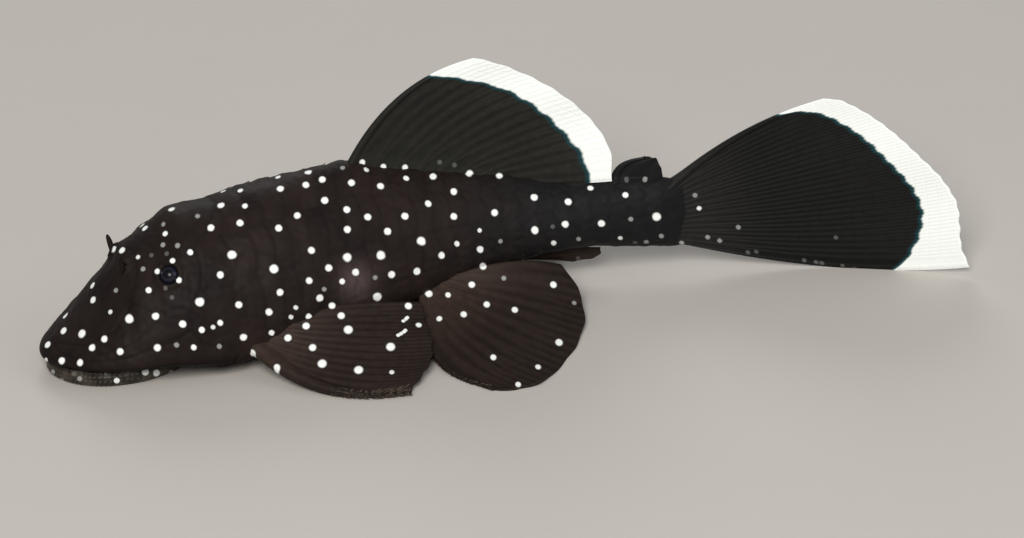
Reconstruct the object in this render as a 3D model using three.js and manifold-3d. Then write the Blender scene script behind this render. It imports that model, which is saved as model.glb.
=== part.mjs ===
// Bristlenose pleco: a young armoured catfish at rest on its sucker mouth and its paired fins,
// as a still, life-size model. Millimetres, +Z up. The snout points to -X, the fish's left side
// faces -Y, and the floor is at Z = 0. The origin is at the middle of the foot of the whole fish.
//
// The fish is laid out in a straight frame first: along runs from head to tail, side is the distance
// to the fish's right of its midline, and up is the height above the floor.
// Behind the pelvic fins the whole tail swings to the fish's left on one arc.

import * as THREE from "three";
import { mergeVertices } from "three/addons/utils/BufferGeometryUtils.js";
import Module from "manifold-3d";

const wasm = await Module();
wasm.setup();

// Driving sizes
const GAP = 0.3; // clear space between neighbouring pieces
const HEAD_END = 19; // nape and gill opening
const TRUNK_END = 54; // behind the roots of the dorsal and anal fins
const SNOUT_TIP = 0.7;
const TAIL_ROOT = 70; // with the snout tip, a standard length of 69.3
const SWING_FROM = 42; // where the tail starts to swing
const SWING_RADIUS = 95; // of the arc that the tail follows
const SNOUT_ROUND = 9; // length of the rounded snout, seen from above
const LIP_ROUND = 2.4; // length of the rounded snout, seen from the side

// Lines of the body, each a list of [along, value]
const BACK = [[0, 3.0], [3.5, 4.8], [6.4, 7.8], [8.3, 9.7], [9.2, 10.5], [10.2, 12.2], [13.3, 13.9],
  [16.5, 15.8], [20, 15.9], [24, 16.6], [31, 17.3], [34.8, 17.7], [38, 16.7], [44, 15.15], [52, 13.2],
  [60, 11.5], [70, 11.0]];
const BELLY = [[0, 1.3], [1.2, 1.5], [2.6, 1.95], [11, 1.95], [15, 1.4], [19, 0.9], [24, 0.9], [34, 1.7],
  [44, 2.2], [50, 3.1], [56, 4.1], [60, 4.1], [65, 3.5], [70, 3.0]];
const WIDEST = [[0, 2.1], [5, 2.7], [12, 3.2], [20, 3.8], [28, 5.0], [35, 5.8], [50, 7.2], [60, 7.6],
  [70, 7.2]];
const HALF_WIDTH = [[0, 7.0], [4, 7.8], [8, 8.7], [19, 10.2], [28, 9.6], [38, 7.8], [48, 5.6], [58, 3.8],
  [70, 1.8]];

// Roundness of the sections above and below their widest level: 2 is an ellipse, more is squarer
const ARCH = [[0, 1.5], [8, 1.6], [12, 1.75], [24, 1.85], [36, 1.55], [50, 1.6], [70, 2.0]];
const KEEL = [[0, 3.2], [12, 3.6], [20, 4.4], [28, 3.4], [40, 2.8], [56, 2.4], [70, 2.1]];

// Armour plates of the trunk and tail, in rows that run from the head to the tail fin. Rise is the
// height of a plate's rear edge, ridge the part of it that only the row's middle has, bow how far the
// edge curves back, lip the length of its drop, fade where the bow ends towards a cut face, and
// first and last the least space between a plate's edge and a cut face.
const PLATES = { from: 21, length: 2, rise: 0.28, ridge: 0.2, bow: 0.45, lip: 0.2, fade: 1.5,
  first: 0.4, last: 0.6 };
const PLATE_ROWS = [0, 32, 58, 84, 108, 135]; // edges of the rows, degrees from the back

// Head: places are along and degrees from the back, and sizes are radii
const EYE = { along: 14, turn: 41, radius: 1.15, sunk: 0.6, rim: 0.3 };
const NOSTRIL = { along: 9.9, turn: 20, radius: 0.62, oval: 1.35, rim: 0.24, pit: 0.53, flap: 0.95,
  lean: 0.8 };
const MOUTH = { along: 9.2, length: 8.0, width: 7.0, top: 1.6, thinned: 0.45 };
const JAW = { radius: 0.45, length: 1.5, turn: 25, behind: 0.2, aside: 1.25, share: 0.62 };

// Fins: a ray's half width as a share of one ray's part of the fin, how much rays and web thin out to
// the margin, and how far the swollen root reaches
const RAY_SHARE = 0.3;
const RAY_TAPER = 0.45;
const WEB_TAPER = 0.3;
const ROOT_REACH = 0.16;

const degrees = (value) => value * Math.PI / 180;

// Smooth interpolation in a list of [along, value, ...], with no overshoot between its points.
function at(line, x, column = 1) {
  const last = line.length - 1;
  if (x <= line[0][0]) return line[0][column];
  if (x >= line[last][0]) return line[last][column];
  let i = 0;
  while (x > line[i + 1][0]) i++;
  const slope = (k) => (line[k + 1][column] - line[k][column]) / (line[k + 1][0] - line[k][0]);
  const tangent = (k) => {
    if (k === 0) return slope(0);
    if (k === last) return slope(last - 1);
    const [before, after] = [slope(k - 1), slope(k)];
    return before * after <= 0 ? 0 : (2 * before * after) / (before + after);
  };
  const width = line[i + 1][0] - line[i][0];
  const t = (x - line[i][0]) / width;
  const [t2, t3] = [t * t, t * t * t];
  return (2 * t3 - 3 * t2 + 1) * line[i][column] + (t3 - 2 * t2 + t) * width * tangent(i)
    + (3 * t2 - 2 * t3) * line[i + 1][column] + (t3 - t2) * width * tangent(i + 1);
}

// Straight frame to the part's frame: behind SWING_FROM a point turns about one upright axis.
function swing([along, side, up]) {
  if (along <= SWING_FROM) return new THREE.Vector3(along, side, up);
  const turn = (along - SWING_FROM) / SWING_RADIUS;
  const reach = SWING_RADIUS + side;
  return new THREE.Vector3(SWING_FROM + reach * Math.sin(turn), reach * Math.cos(turn) - SWING_RADIUS, up);
}

// A quarter-circle start: 0 at the tip, 1 from the given length on.
const rounded = (x, length) => Math.sqrt(Math.max(0, 1 - Math.max(0, 1 - x / length) ** 2));
const power = (value, exponent) => Math.sign(value) * Math.abs(value) ** exponent;

// The body's skin in the straight frame. Turn is an angle about the body's long axis: 0 on the back,
// 90 on the fish's left flank and 180 on the belly. Lift stands off the skin along its normal.
function skin(along, turn, lift = 0) {
  const middle = at(WIDEST, along);
  const wide = at(HALF_WIDTH, along) * rounded(along - SNOUT_TIP, SNOUT_ROUND);
  const [c, s] = [Math.cos(degrees(turn)), Math.sin(degrees(turn))];
  const round = c > 0 ? at(ARCH, along) : at(KEEL, along);
  const full = c > 0 ? at(BACK, along) - middle : middle - at(BELLY, along);
  const tall = full * rounded(along - SNOUT_TIP, LIP_ROUND);
  const normal = [-power(s, 2 - 2 / round) / wide, power(c, 2 - 2 / round) / tall];
  const scale = lift / Math.hypot(...normal);
  return [
    along,
    -wide * power(s, 2 / round) + normal[0] * scale,
    middle + tall * power(c, 2 / round) + normal[1] * scale,
  ];
}

// A closed mesh from rows of points, each row a closed loop, with a fan on each end.
function loft(rows) {
  const points = rows.flat();
  const count = rows[0].length;
  const faces = [];
  for (let r = 0; r + 1 < rows.length; r++)
    for (let k = 0; k < count; k++) {
      const [a, b] = [r * count + k, r * count + (k + 1) % count];
      faces.push(a, b, a + count, b, b + count, a + count);
    }
  for (const end of [0, rows.length - 1]) {
    const middle = new THREE.Vector3();
    for (const point of rows[end]) middle.addScaledVector(point, 1 / count);
    points.push(middle);
    for (let k = 0; k < count; k++) {
      const [a, b] = [end * count + k, end * count + (k + 1) % count];
      faces.push(points.length - 1, end ? a : b, end ? b : a);
    }
  }
  return meshOf(points, faces);
}

function meshOf(points, faces) {
  const geometry = new THREE.BufferGeometry().setFromPoints(points);
  geometry.setIndex(faces);
  return geometry;
}

// Geometry to a solid with its faces pointing out, and back.
function solid(geometry) {
  const bare = geometry.clone();
  bare.deleteAttribute("normal");
  bare.deleteAttribute("uv");
  const merged = mergeVertices(bare, 1e-4);
  const make = (triVerts) => new wasm.Manifold(
    new wasm.Mesh({ numProp: 3, vertProperties: merged.attributes.position.array, triVerts }),
  );
  const faces = new Uint32Array(merged.index.array);
  const made = make(faces);
  return made.volume() > 0 ? made : make(faces.reverse());
}

function geometryOf(made) {
  const { vertProperties, triVerts } = made.getMesh();
  const geometry = new THREE.BufferGeometry();
  geometry.setAttribute("position", new THREE.BufferAttribute(vertProperties, 3));
  geometry.setIndex(new THREE.BufferAttribute(triVerts, 1));
  return geometry;
}

// The largest closed surface of a solid.
const largest = (made) => made.decompose().sort((a, b) => b.volume() - a.volume())[0];

// Stations from one place to another, about step apart.
function stations(from, to, step) {
  const count = Math.max(1, Math.round((to - from) / step));
  return Array.from({ length: count + 1 }, (_, k) => from + (to - from) * k / count);
}

// Sections close together where the snout rounds off, then even ones.
const SNOUT_STATIONS = [0.02, 0.15, 0.5, 1.0, 1.7, 2.5].map((behind) => SNOUT_TIP + behind);
const bodyStations = (to, step) => [...SNOUT_STATIONS, ...stations(4.2, to, step)];

// The whole body in smooth form, standing off the skin, to cut the roots of the fins.
function smoothBody(lift) {
  const turns = stations(0, 360, 9).slice(0, -1);
  const rows = bodyStations(TAIL_ROOT + GAP, 1.4).map((along) =>
    turns.map((turn) => swing(skin(along, turn, lift))));
  return solid(loft(rows));
}

const clearBody = smoothBody(GAP + PLATES.rise);
const floor = solid(new THREE.BoxGeometry(400, 400, 20).translate(0, 0, -10));

// Head, with sockets for the eyes, the rims round them, and the nostrils with their flaps

// A frame on the skin: its middle, and its axes out of the skin, back and across.
function seat(along, turn) {
  const middle = new THREE.Vector3(...skin(along, turn));
  const back = new THREE.Vector3(...skin(along + 0.3, turn)).sub(middle).normalize();
  const across = new THREE.Vector3(...skin(along, turn + 2)).sub(middle).normalize();
  const out = new THREE.Vector3().crossVectors(back, across).normalize();
  if (out.z < 0) out.negate();
  across.crossVectors(out, back);
  return { middle, matrix: new THREE.Matrix4().makeBasis(back, across, out).setPosition(middle) };
}

function onSeat(geometry, place) {
  return solid(geometry.applyMatrix4(place.matrix));
}

function head() {
  const turns = stations(0, 360, 10).slice(0, -1);
  const rows = bodyStations(HEAD_END - GAP / 2, 1.3).map((along) =>
    turns.map((turn) => swing(skin(along, turn))));
  let made = solid(loft(rows));
  for (const side of [1, -1]) {
    const orbit = seat(EYE.along, side * EYE.turn);
    const opening = Math.sqrt((EYE.radius + GAP) ** 2 - EYE.sunk ** 2);
    made = made.add(onSeat(new THREE.TorusGeometry(opening + EYE.rim * 0.7, EYE.rim, 5, 16), orbit));
    made = made.subtract(onSeat(
      new THREE.SphereGeometry(EYE.radius + GAP, 16, 8).translate(0, 0, -EYE.sunk), orbit));
    made = made.add(nostrilRim(side)).subtract(nostrilPits(side)).add(nostrilFlap(side));
  }
  return largest(made);
}

function nostrilRim(side) {
  const rim = new THREE.TorusGeometry(NOSTRIL.radius, NOSTRIL.rim, 4, 10).scale(NOSTRIL.oval, 1, 1);
  return onSeat(rim, seat(NOSTRIL.along, side * NOSTRIL.turn));
}

function nostrilPits(side) {
  const pit = new THREE.SphereGeometry(NOSTRIL.pit, 10, 6).scale(NOSTRIL.oval, 1, 0.8);
  return onSeat(pit, seat(NOSTRIL.along, side * NOSTRIL.turn));
}

// The flap stands between the two openings of a nostril.
function nostrilFlap(side) {
  const flap = new THREE.SphereGeometry(NOSTRIL.flap, 8, 6).scale(0.35, 0.6, 2).rotateY(NOSTRIL.lean);
  return onSeat(flap, seat(NOSTRIL.along, side * NOSTRIL.turn));
}

function eye(side) {
  const ball = new THREE.SphereGeometry(EYE.radius, 16, 10).translate(0, 0, -EYE.sunk);
  return onSeat(ball, seat(EYE.along, side * EYE.turn));
}

// Sucker mouth: an oval disc of lips, thinner towards its rear, and hollowed underneath round the
// mouth and its two jaws
function mouth() {
  const profile = [[0, 1], [0.78, 1], [0.95, 0.8], [1, 0.45], [0.98, 0.15], [0.93, 0], [0.81, 0],
    [0.74, 0.17], [0.55, 0.4], [0.4, 0.55], [0.3, 0.75], [0, 0.75]];
  const outline = profile.map(([out, up]) => new THREE.Vector2(out, up * MOUTH.top));
  const disc = new THREE.LatheGeometry(outline.reverse(), 32).rotateX(Math.PI / 2);
  const places = disc.attributes.position;
  for (let k = 0; k < places.count; k++) {
    const share = THREE.MathUtils.smoothstep(places.getX(k), 0.12, 1);
    places.setZ(k, places.getZ(k) * (1 - MOUTH.thinned * share));
  }
  disc.scale(MOUTH.length, MOUTH.width, 1).translate(MOUTH.along, 0, 0);
  let made = solid(disc);
  for (const side of [1, -1]) made = made.add(jaw(side));
  return largest(made);
}

function jaw(side) {
  const bar = new THREE.CapsuleGeometry(JAW.radius, JAW.length, 3, 8).rotateZ(degrees(side * JAW.turn));
  return solid(bar.translate(MOUTH.along + JAW.behind, side * JAW.aside, MOUTH.top * JAW.share));
}

// Trunk and tail, armoured with plates in rows

const PLATE_TURNS = [0, 16, 32, 45, 58, 71, 84, 96, 108, 121, 135, 150, 165, 180];

// 1 at the middle of a row of plates, 0 at its edges, and -1 on the bare belly.
function rowShare(turn) {
  const half = Math.abs(turn > 180 ? 360 - turn : turn);
  for (let k = 0; k + 1 < PLATE_ROWS.length; k++)
    if (half <= PLATE_ROWS[k + 1]) {
      const share = (half - PLATE_ROWS[k]) / (PLATE_ROWS[k + 1] - PLATE_ROWS[k]);
      return Math.sin(Math.PI * share);
    }
  return -1;
}

// A length of body with its plates. Each plate rises from front to rear and along its row's middle,
// and its rear edge bows back. The bow fades to nothing towards both cut faces of the piece.
function armoured(from, to) {
  const turns = [...PLATE_TURNS, ...PLATE_TURNS.slice(1, -1).reverse().map((turn) => 360 - turn)];
  const rows = [];
  const ring = (along, rise) => rows.push(turns.map((turn) => {
    const share = rowShare(turn);
    const inside = Math.min(1, (along - from) / PLATES.fade, (to - along) / PLATES.fade);
    const bow = share < 0 ? 0 : PLATES.bow * (share - 0.5) * Math.max(0, inside);
    const lift = share < 0 ? 0 : rise * (PLATES.rise + PLATES.ridge * (share - 1));
    return swing(skin(along + bow, turn, Math.max(0, lift)));
  }));
  ring(from, 0);
  const first = Math.ceil((from + PLATES.first - PLATES.from) / PLATES.length);
  for (let k = first; ; k++) {
    const edge = PLATES.from + PLATES.length * k;
    if (edge > to - PLATES.last) break;
    ring(edge - PLATES.lip, 1);
    ring(edge, 0);
  }
  ring(to, 0);
  return solid(loft(rows));
}

// Fins

// A fin fans out in rays from its root to its margin, with a web between the rays. Root and margin
// are lists of [share, along, side, up] from the leading ray, share 0, to the last ray, share 1.
// Arch is how far a ray's middle is pushed along and up, at the leading ray and at the last one.
function fin(shape) {
  const { rays, rows, root, margin, arch, sink } = shape;
  const half = RAY_SHARE / rays;
  const middles = Array.from({ length: rays }, (_, k) => half + (1 - 2 * half) * k / (rays - 1));
  const columns = [[0, 0]];
  middles.forEach((middle, k) => {
    const web = k + 1 < rays ? (middle + middles[k + 1]) / 2 : 1;
    if (!shape.close && k > 0) columns.push([middle - half, 0]);
    columns.push([middle, 1]);
    if (!shape.close && k + 1 < rays) columns.push([middle + half, 0]);
    columns.push([web, 0]);
  });
  const isWeb = (share) => middles.every((middle) => Math.abs(share - middle) > half * 1.01);
  const notch = (share) => (isWeb(share) ? shape.notch : 0);
  const place = (share, out, short = 0) => {
    const reach = out * (1 - short);
    const bulge = 4 * out * (1 - out);
    return [1, 2, 3].map((axis) => {
      const [from, to] = [at(root, share, axis), at(margin, share, axis)];
      const push = arch[0][axis - 1] * (1 - share) + arch[1][axis - 1] * share;
      return from + (to - from) * reach + push * Math.max(0, bulge);
    });
  };
  const thick = (share, ridge, out) => {
    const beyond = Math.max(0, out);
    const lead = share < 3 * half ? shape.spine : shape.ray;
    const base = shape.swell * Math.max(0, 1 - out / ROOT_REACH) ** 2;
    return (ridge ? lead * (1 - RAY_TAPER * beyond) : shape.web * (1 - WEB_TAPER * beyond)) + base;
  };
  const levels = [-sink, ...stations(0, 1, 1 / rows)];
  const [near, far] = [[], []];
  for (const out of levels)
    for (const [share, ridge] of columns) {
      const middle = swing(place(share, out, notch(share)));
      const along = swing(place(share, out + 0.02, notch(share))).sub(middle);
      const [after, before] = [Math.min(1, share + 0.01), Math.max(0, share - 0.01)];
      const across = swing(place(after, out)).sub(swing(place(before, out)));
      const normal = new THREE.Vector3().crossVectors(along, across).normalize();
      const offset = thick(share, ridge, out) / 2;
      near.push(middle.clone().addScaledVector(normal, offset));
      far.push(middle.clone().addScaledVector(normal, -offset));
    }
  return sheet(near, far, columns.length, levels.length);
}

// Two like grids of points, one on each face, joined round their edge.
function sheet(near, far, width, height) {
  const faces = [];
  const behind = near.length;
  for (let r = 0; r + 1 < height; r++)
    for (let c = 0; c + 1 < width; c++) {
      const a = r * width + c;
      faces.push(a, a + 1, a + width, a + 1, a + width + 1, a + width);
      faces.push(behind + a, behind + a + width, behind + a + 1);
      faces.push(behind + a + 1, behind + a + width, behind + a + width + 1);
    }
  const rim = [];
  for (let c = 0; c + 1 < width; c++) rim.push(c);
  for (let r = 0; r + 1 < height; r++) rim.push(r * width + width - 1);
  for (let c = width - 1; c > 0; c--) rim.push((height - 1) * width + c);
  for (let r = height - 1; r > 0; r--) rim.push(r * width);
  rim.forEach((a, k) => {
    const b = rim[(k + 1) % rim.length];
    faces.push(a, behind + a, b, b, behind + a, behind + b);
  });
  return meshOf([...near, ...far], faces);
}

// A fin cut clear of the body and of the floor.
const rooted = (shape) => largest(solid(fin(shape)).subtract(clearBody).subtract(floor));

const DORSAL = {
  rays: 8, rows: 7, spine: 1.2, ray: 0.9, web: 0.5, swell: 0.5, notch: 0.035, sink: 0.1, close: false,
  arch: [[-1.2, 0, 2.1], [0, 0, 0]],
  root: [[0, 34.5, 0, 16.2], [0.5, 43.5, 0, 14.7], [1, 51.5, 0, 12.6]],
  margin: [[0, 49.7, 0, 27.1], [0.08, 51.6, 0, 26.4], [0.25, 55, 0, 24.5], [0.42, 58.1, 0, 22.4],
    [0.6, 60.9, -0.1, 19.7], [0.8, 63.1, -0.4, 16.5], [0.91, 63.8, -0.7, 14.3], [1, 63.8, -1.1, 11.9]],
};
const ADIPOSE = {
  rays: 2, rows: 3, spine: 1, ray: 0.7, web: 0.5, swell: 0.4, notch: 0.03, sink: 0.2, close: false,
  arch: [[-0.75, 0, 0.55], [0, 0, 0]],
  root: [[0, 63.6, 0, 11.3], [1, 69.3, 0, 10.5]],
  margin: [[0, 67.3, 0, 13.6], [0.5, 68.4, 0, 13.5], [1, 69.1, 0, 12.3]],
};
const CAUDAL = {
  rays: 16, rows: 7, spine: 1.3, ray: 0.85, web: 0.5, swell: 1.3, notch: 0.02, sink: 0.06, close: true,
  arch: [[-0.3, 0, 0.9], [0.6, 0, -2.1]],
  root: [[0, 70, 0, 10.7], [1, 70, 0, 3.4]],
  margin: [[0, 86.6, 0, 19.9], [0.06, 88.1, 0, 19.8], [0.14, 89.9, 0, 19], [0.29, 93.3, 0, 16.7],
    [0.46, 96.6, 0, 13.8], [0.62, 99.5, 0, 10.6], [0.75, 100.9, 0, 7.6], [0.9, 101.2, 0, 3.6],
    [1, 102.1, 0, 1]],
};
const ANAL = {
  rays: 5, rows: 4, spine: 0.9, ray: 0.8, web: 0.5, swell: 0.3, notch: 0.05, sink: 0.15, close: false,
  arch: [[0, 0, 0.1], [0, 0, 0]],
  root: [[0, 49, 0, 3.3], [1, 54.5, 0, 4.2]],
  margin: [[0, 57.5, 0, 2.7], [0.35, 59.3, 0, 2.05], [0.65, 61, 0, 2.2], [0.88, 62.2, 0, 2.75],
    [1, 62.2, 0, 3.4]],
};
const PECTORAL = {
  rays: 7, rows: 6, spine: 2, ray: 0.85, web: 0.5, swell: 0.6, notch: 0.04, sink: 0.12, close: false,
  arch: [[-1.2, -2.5, -1.2], [0, -0.3, 0.7]],
  root: [[0, 20.7, -8.6, 2.7], [1, 23.5, -8.6, 5.8]],
  margin: [[0, 34.7, -20.9, 0.5], [0.14, 36, -19.9, 0.8], [0.3, 37.6, -18.2, 1.15], [0.45, 38.8, -16.3, 1.7],
    [0.6, 39.4, -14.3, 2.25], [0.75, 39.6, -12.3, 2.85], [0.88, 39.8, -10.5, 3.5], [1, 40, -9.1, 4.4]],
};
const PELVIC = {
  rays: 6, rows: 6, spine: 1.2, ray: 0.85, web: 0.5, swell: 0.4, notch: 0.04, sink: 0.12, close: false,
  arch: [[-2.6, -0.8, -1.2], [0, -0.8, 1.2]],
  root: [[0, 40.4, -6.4, 3.4], [1, 44.5, -5.9, 5.2]],
  margin: [[0, 43.2, -23.2, 0.25], [0.12, 46.8, -24.2, 0.15], [0.25, 50, -23.8, 0.15],
    [0.4, 53.6, -20.7, 0.15], [0.55, 56.6, -16.6, 0.2], [0.68, 58.3, -12.8, 0.35], [0.8, 58.9, -9.6, 0.9],
    [0.9, 58.7, -7.2, 2.2], [1, 57.2, -4.8, 4.2]],
};

// The same fin on the fish's right side, with its rays spread by a share of their reach.
function mirrored(shape, spread) {
  const across = (line, more = 0) =>
    line.map(([share, along, side, up]) => [share, along - more * 2, more - side, up]);
  const arch = shape.arch.map(([along, side, up]) => [along, -side, up]);
  return { ...shape, root: across(shape.root), margin: across(shape.margin, spread), arch };
}

// Materials and assembly
const skinBlack = { color: 0x2a2624, roughness: 0.55, metalness: 0 };
const finBrown = { color: 0x332c29, roughness: 0.5, metalness: 0 };
const lipGrey = { color: 0x8a8f84, roughness: 0.5, metalness: 0 };
const eyeBlack = { color: 0x10141c, roughness: 0.12, metalness: 0 };

const pieces = {
  head: [head(), skinBlack],
  mouth: [mouth(), lipGrey],
  eye_left: [eye(1), eyeBlack],
  eye_right: [eye(-1), eyeBlack],
  trunk: [armoured(HEAD_END + GAP / 2, TRUNK_END - GAP / 2), skinBlack],
  tail_stem: [armoured(TRUNK_END + GAP / 2, TAIL_ROOT), skinBlack],
  dorsal_fin: [rooted(DORSAL), finBrown],
  adipose_fin: [rooted(ADIPOSE), finBrown],
  caudal_fin: [rooted(CAUDAL), finBrown],
  anal_fin: [rooted(ANAL), finBrown],
  pectoral_fin_left: [rooted(PECTORAL), finBrown],
  pectoral_fin_right: [rooted(mirrored(PECTORAL, 0.4)), finBrown],
  pelvic_fin_left: [rooted(PELVIC), finBrown],
  pelvic_fin_right: [rooted(mirrored(PELVIC, 0.3)), finBrown],
};

const pleco = new THREE.Group();
for (const [name, [made, finish]] of Object.entries(pieces)) {
  const mesh = new THREE.Mesh(geometryOf(made), new THREE.MeshStandardMaterial(finish));
  mesh.name = name;
  pleco.add(mesh);
}
const box = new THREE.Box3().setFromObject(pleco, true);
const foot = box.getCenter(new THREE.Vector3()).setZ(box.min.z);
pleco.position.copy(foot).negate();

export default pleco;
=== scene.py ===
"""Bristlenose pleco: a young armoured catfish with white dots and white fin seams, at rest on the floor.

Shapes are worked out in the fish's own straight frame, in millimetres: along runs from snout to tail, side
is the distance to the fish's right of its midline, and up is the height above the floor. swing() turns the
tail to the fish's left, and placed() goes on to the part's frame, in metres.
"""

import math

import bpy
import numpy as np
from mathutils import Matrix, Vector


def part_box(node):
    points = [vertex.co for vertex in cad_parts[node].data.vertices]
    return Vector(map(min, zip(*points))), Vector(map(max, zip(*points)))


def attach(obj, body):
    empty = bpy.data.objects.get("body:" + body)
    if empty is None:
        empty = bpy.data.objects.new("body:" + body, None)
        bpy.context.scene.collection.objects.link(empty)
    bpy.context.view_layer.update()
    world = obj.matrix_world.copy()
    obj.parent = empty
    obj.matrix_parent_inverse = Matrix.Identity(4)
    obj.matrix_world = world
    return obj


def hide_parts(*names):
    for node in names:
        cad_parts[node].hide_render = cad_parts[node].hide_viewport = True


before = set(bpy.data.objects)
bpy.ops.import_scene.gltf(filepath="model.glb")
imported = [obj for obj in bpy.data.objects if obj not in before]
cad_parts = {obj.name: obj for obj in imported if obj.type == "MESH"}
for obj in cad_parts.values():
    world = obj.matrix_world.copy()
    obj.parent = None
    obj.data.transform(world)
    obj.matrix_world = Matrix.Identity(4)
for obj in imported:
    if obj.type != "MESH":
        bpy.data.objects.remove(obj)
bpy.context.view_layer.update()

MM = 1000  # millimetres in a metre; a pattern of n to the millimetre has the scale n * MM
FAR = 9.0  # stands for a distance where nothing is near

# Driving sizes of the fish, as in its solids
SNOUT_TIP = 0.7
FIRST_SECTION = 0.02  # behind the snout tip, where the solid head begins
TAIL_ROOT = 70
SWING_FROM = 42
SWING_RADIUS = 95
SNOUT_ROUND = 9
LIP_ROUND = 2.4
BACK = [[0, 3.0], [3.5, 4.8], [6.4, 7.8], [8.3, 9.7], [9.2, 10.5], [10.2, 12.2], [13.3, 13.9], [16.5, 15.8],
        [20, 15.9], [24, 16.6], [31, 17.3], [34.8, 17.7], [38, 16.7], [44, 15.15], [52, 13.2], [60, 11.5],
        [70, 11.0]]
BELLY = [[0, 1.3], [1.2, 1.5], [2.6, 1.95], [11, 1.95], [15, 1.4], [19, 0.9], [24, 0.9], [34, 1.7],
         [44, 2.2], [50, 3.1], [56, 4.1], [60, 4.1], [65, 3.5], [70, 3.0]]
WIDEST = [[0, 2.1], [5, 2.7], [12, 3.2], [20, 3.8], [28, 5.0], [35, 5.8], [50, 7.2], [60, 7.6], [70, 7.2]]
HALF_WIDTH = [[0, 7.0], [4, 7.8], [8, 8.7], [19, 10.2], [28, 9.6], [38, 7.8], [48, 5.6], [58, 3.8],
              [70, 1.8]]
ARCH = [[0, 1.5], [8, 1.6], [12, 1.75], [24, 1.85], [36, 1.55], [50, 1.6], [70, 2.0]]
KEEL = [[0, 3.2], [12, 3.6], [20, 4.4], [28, 3.4], [40, 2.8], [56, 2.4], [70, 2.1]]

PLATES_FROM = 21
PLATE_LENGTH = 2
PLATE_RISE = 0.11
PLATE_RIDGE = 0.06
PLATE_BOW = 0.45
PLATE_ROWS = np.array([0, 32, 58, 84, 108, 135])

EYE = dict(along=14, turn=41, radius=1.15, sunk=0.6, rim=0.3, gap=0.12)
NOSTRIL = dict(along=9.9, turn=20, radius=0.62, flap=0.95, lean=0.8)
MOUTH = dict(along=9.2, length=8.0, width=7.0, thinned=0.45)

# Sizes that only the skin has
HEAD_END = 20.5
NARROWS_FROM = TAIL_ROOT - 1.2
SKIN_END = TAIL_ROOT + 2.4  # inside the tail fin's root, where the skin closes
PLATE_TOP, PLATE_DROP = 0.9, 0.1  # shares of a plate's length: rising to its rear edge, and dropping there
SUTURE = dict(depth=0.07, width=0.2, dark=0.4, dark_width=0.14)
GILL = dict(depth=0.3, width=0.22, lip=0.12, lip_off=0.5, lip_width=0.4, dark=0.7, dark_width=0.25)
EYE_HOLLOW = dict(depth=1.1, rim_width=0.36)
NOSTRIL_PIT = dict(depth=0.6, rim=0.24, rim_width=0.2, length=1.35)
PAINTED_SHEEN = dict(along=33.2, turn=75, reach=1.9)  # painted sheen: a paler, pinkish patch on the flank behind each pectoral fin
PAINTED_CHEEK_SHADE = 0.7  # how dark the painted shade is under the edge of the cheek

# The camera, at the photograph's viewing angle, in the fish's frame
IMAGE_WIDTH, IMAGE_HEIGHT = 1024, 538
YAW, ELEVATION, ROLL = 15.9, 25.6, -3.6
DISTANCE = 424
AIM = (51.4, -4.0, 3.7)
SENSOR = 36
LENS = 139.5
FOCAL = LENS / SENSOR * IMAGE_WIDTH  # in pixels


# Lines and noise

def curve(line, x):
    """Value at x of a smooth line through [place, value] points: cubic pieces whose slope at each point is
    the harmonic mean of its neighbours' slopes, or 0 where they differ in sign, so that it never
    overshoots."""
    places, values = np.asarray(line, float).T
    step = np.diff(places)
    slope = np.diff(values) / step
    product = slope[:-1] * slope[1:]
    total = np.where(product > 0, slope[:-1] + slope[1:], 1)
    tangent = np.concatenate([slope[:1], np.where(product > 0, 2 * product / total, 0), slope[-1:]])
    x = np.clip(x, places[0], places[-1])
    k = np.clip(np.searchsorted(places, x, side="right") - 1, 0, len(step) - 1)
    t = (x - places[k]) / step[k]
    return ((2 * t**3 - 3 * t**2 + 1) * values[k] + (t**3 - 2 * t**2 + t) * step[k] * tangent[k]
            + (3 * t**2 - 2 * t**3) * values[k + 1] + (t**3 - t**2) * step[k] * tangent[k + 1])


def smooth(x, start, end):
    """0 before start, 1 after end, and 3t^2 - 2t^3 between them."""
    t = np.clip((x - start) / (end - start), 0, 1)
    return t * t * (3 - 2 * t)


def bell(x, width):
    """1 at 0, and exp(-(x / width)^2) to either side."""
    return np.exp(-(x / width) ** 2)


def power(value, exponent):
    """The value's size to the exponent, with its sign."""
    return np.sign(value) * np.abs(value) ** exponent


def ripple(points, length, seed, waves=16):
    """Seeded smooth bumps, about -1 to 1: a sum of sine waves of one length, each in a random direction."""
    draw = np.random.default_rng(seed)
    ways = draw.normal(size=(waves, 3))
    ways *= 2 * math.pi / length / np.linalg.norm(ways, axis=1, keepdims=True)
    phases = draw.uniform(0, 2 * math.pi, waves)
    return sum(np.sin(points @ way + phase) for way, phase in zip(ways, phases)) / math.sqrt(waves)


def unit(vectors):
    """Vectors brought to length 1."""
    return vectors / np.maximum(np.linalg.norm(vectors, axis=-1, keepdims=True), 1e-9)


def full_turn(count):
    """Even turns once round, in radians."""
    return np.linspace(0, 2 * math.pi, count, endpoint=False)


# Places

head_low, head_high = (np.array(corner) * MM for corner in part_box("head"))
SHIFT = np.array([head_low[0] - SNOUT_TIP - FIRST_SECTION, (head_low[1] + head_high[1]) / 2, 0])


def swing(points):
    """Behind SWING_FROM a point turns about one upright axis, which is SWING_RADIUS to the fish's left."""
    along, side, up = np.moveaxis(np.asarray(points, float), -1, 0)
    turn = np.maximum(along - SWING_FROM, 0) / SWING_RADIUS
    reach = SWING_RADIUS + side
    forward = np.minimum(along, SWING_FROM) + reach * np.sin(turn)
    return np.stack([forward, reach * np.cos(turn) - SWING_RADIUS, up], -1)


def placed(points):
    """Straight frame in millimetres to the part's frame in metres, with nothing under the floor."""
    moved = (swing(points) + SHIFT) / MM
    moved[..., 2] = np.maximum(moved[..., 2], 0)
    return moved


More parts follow.
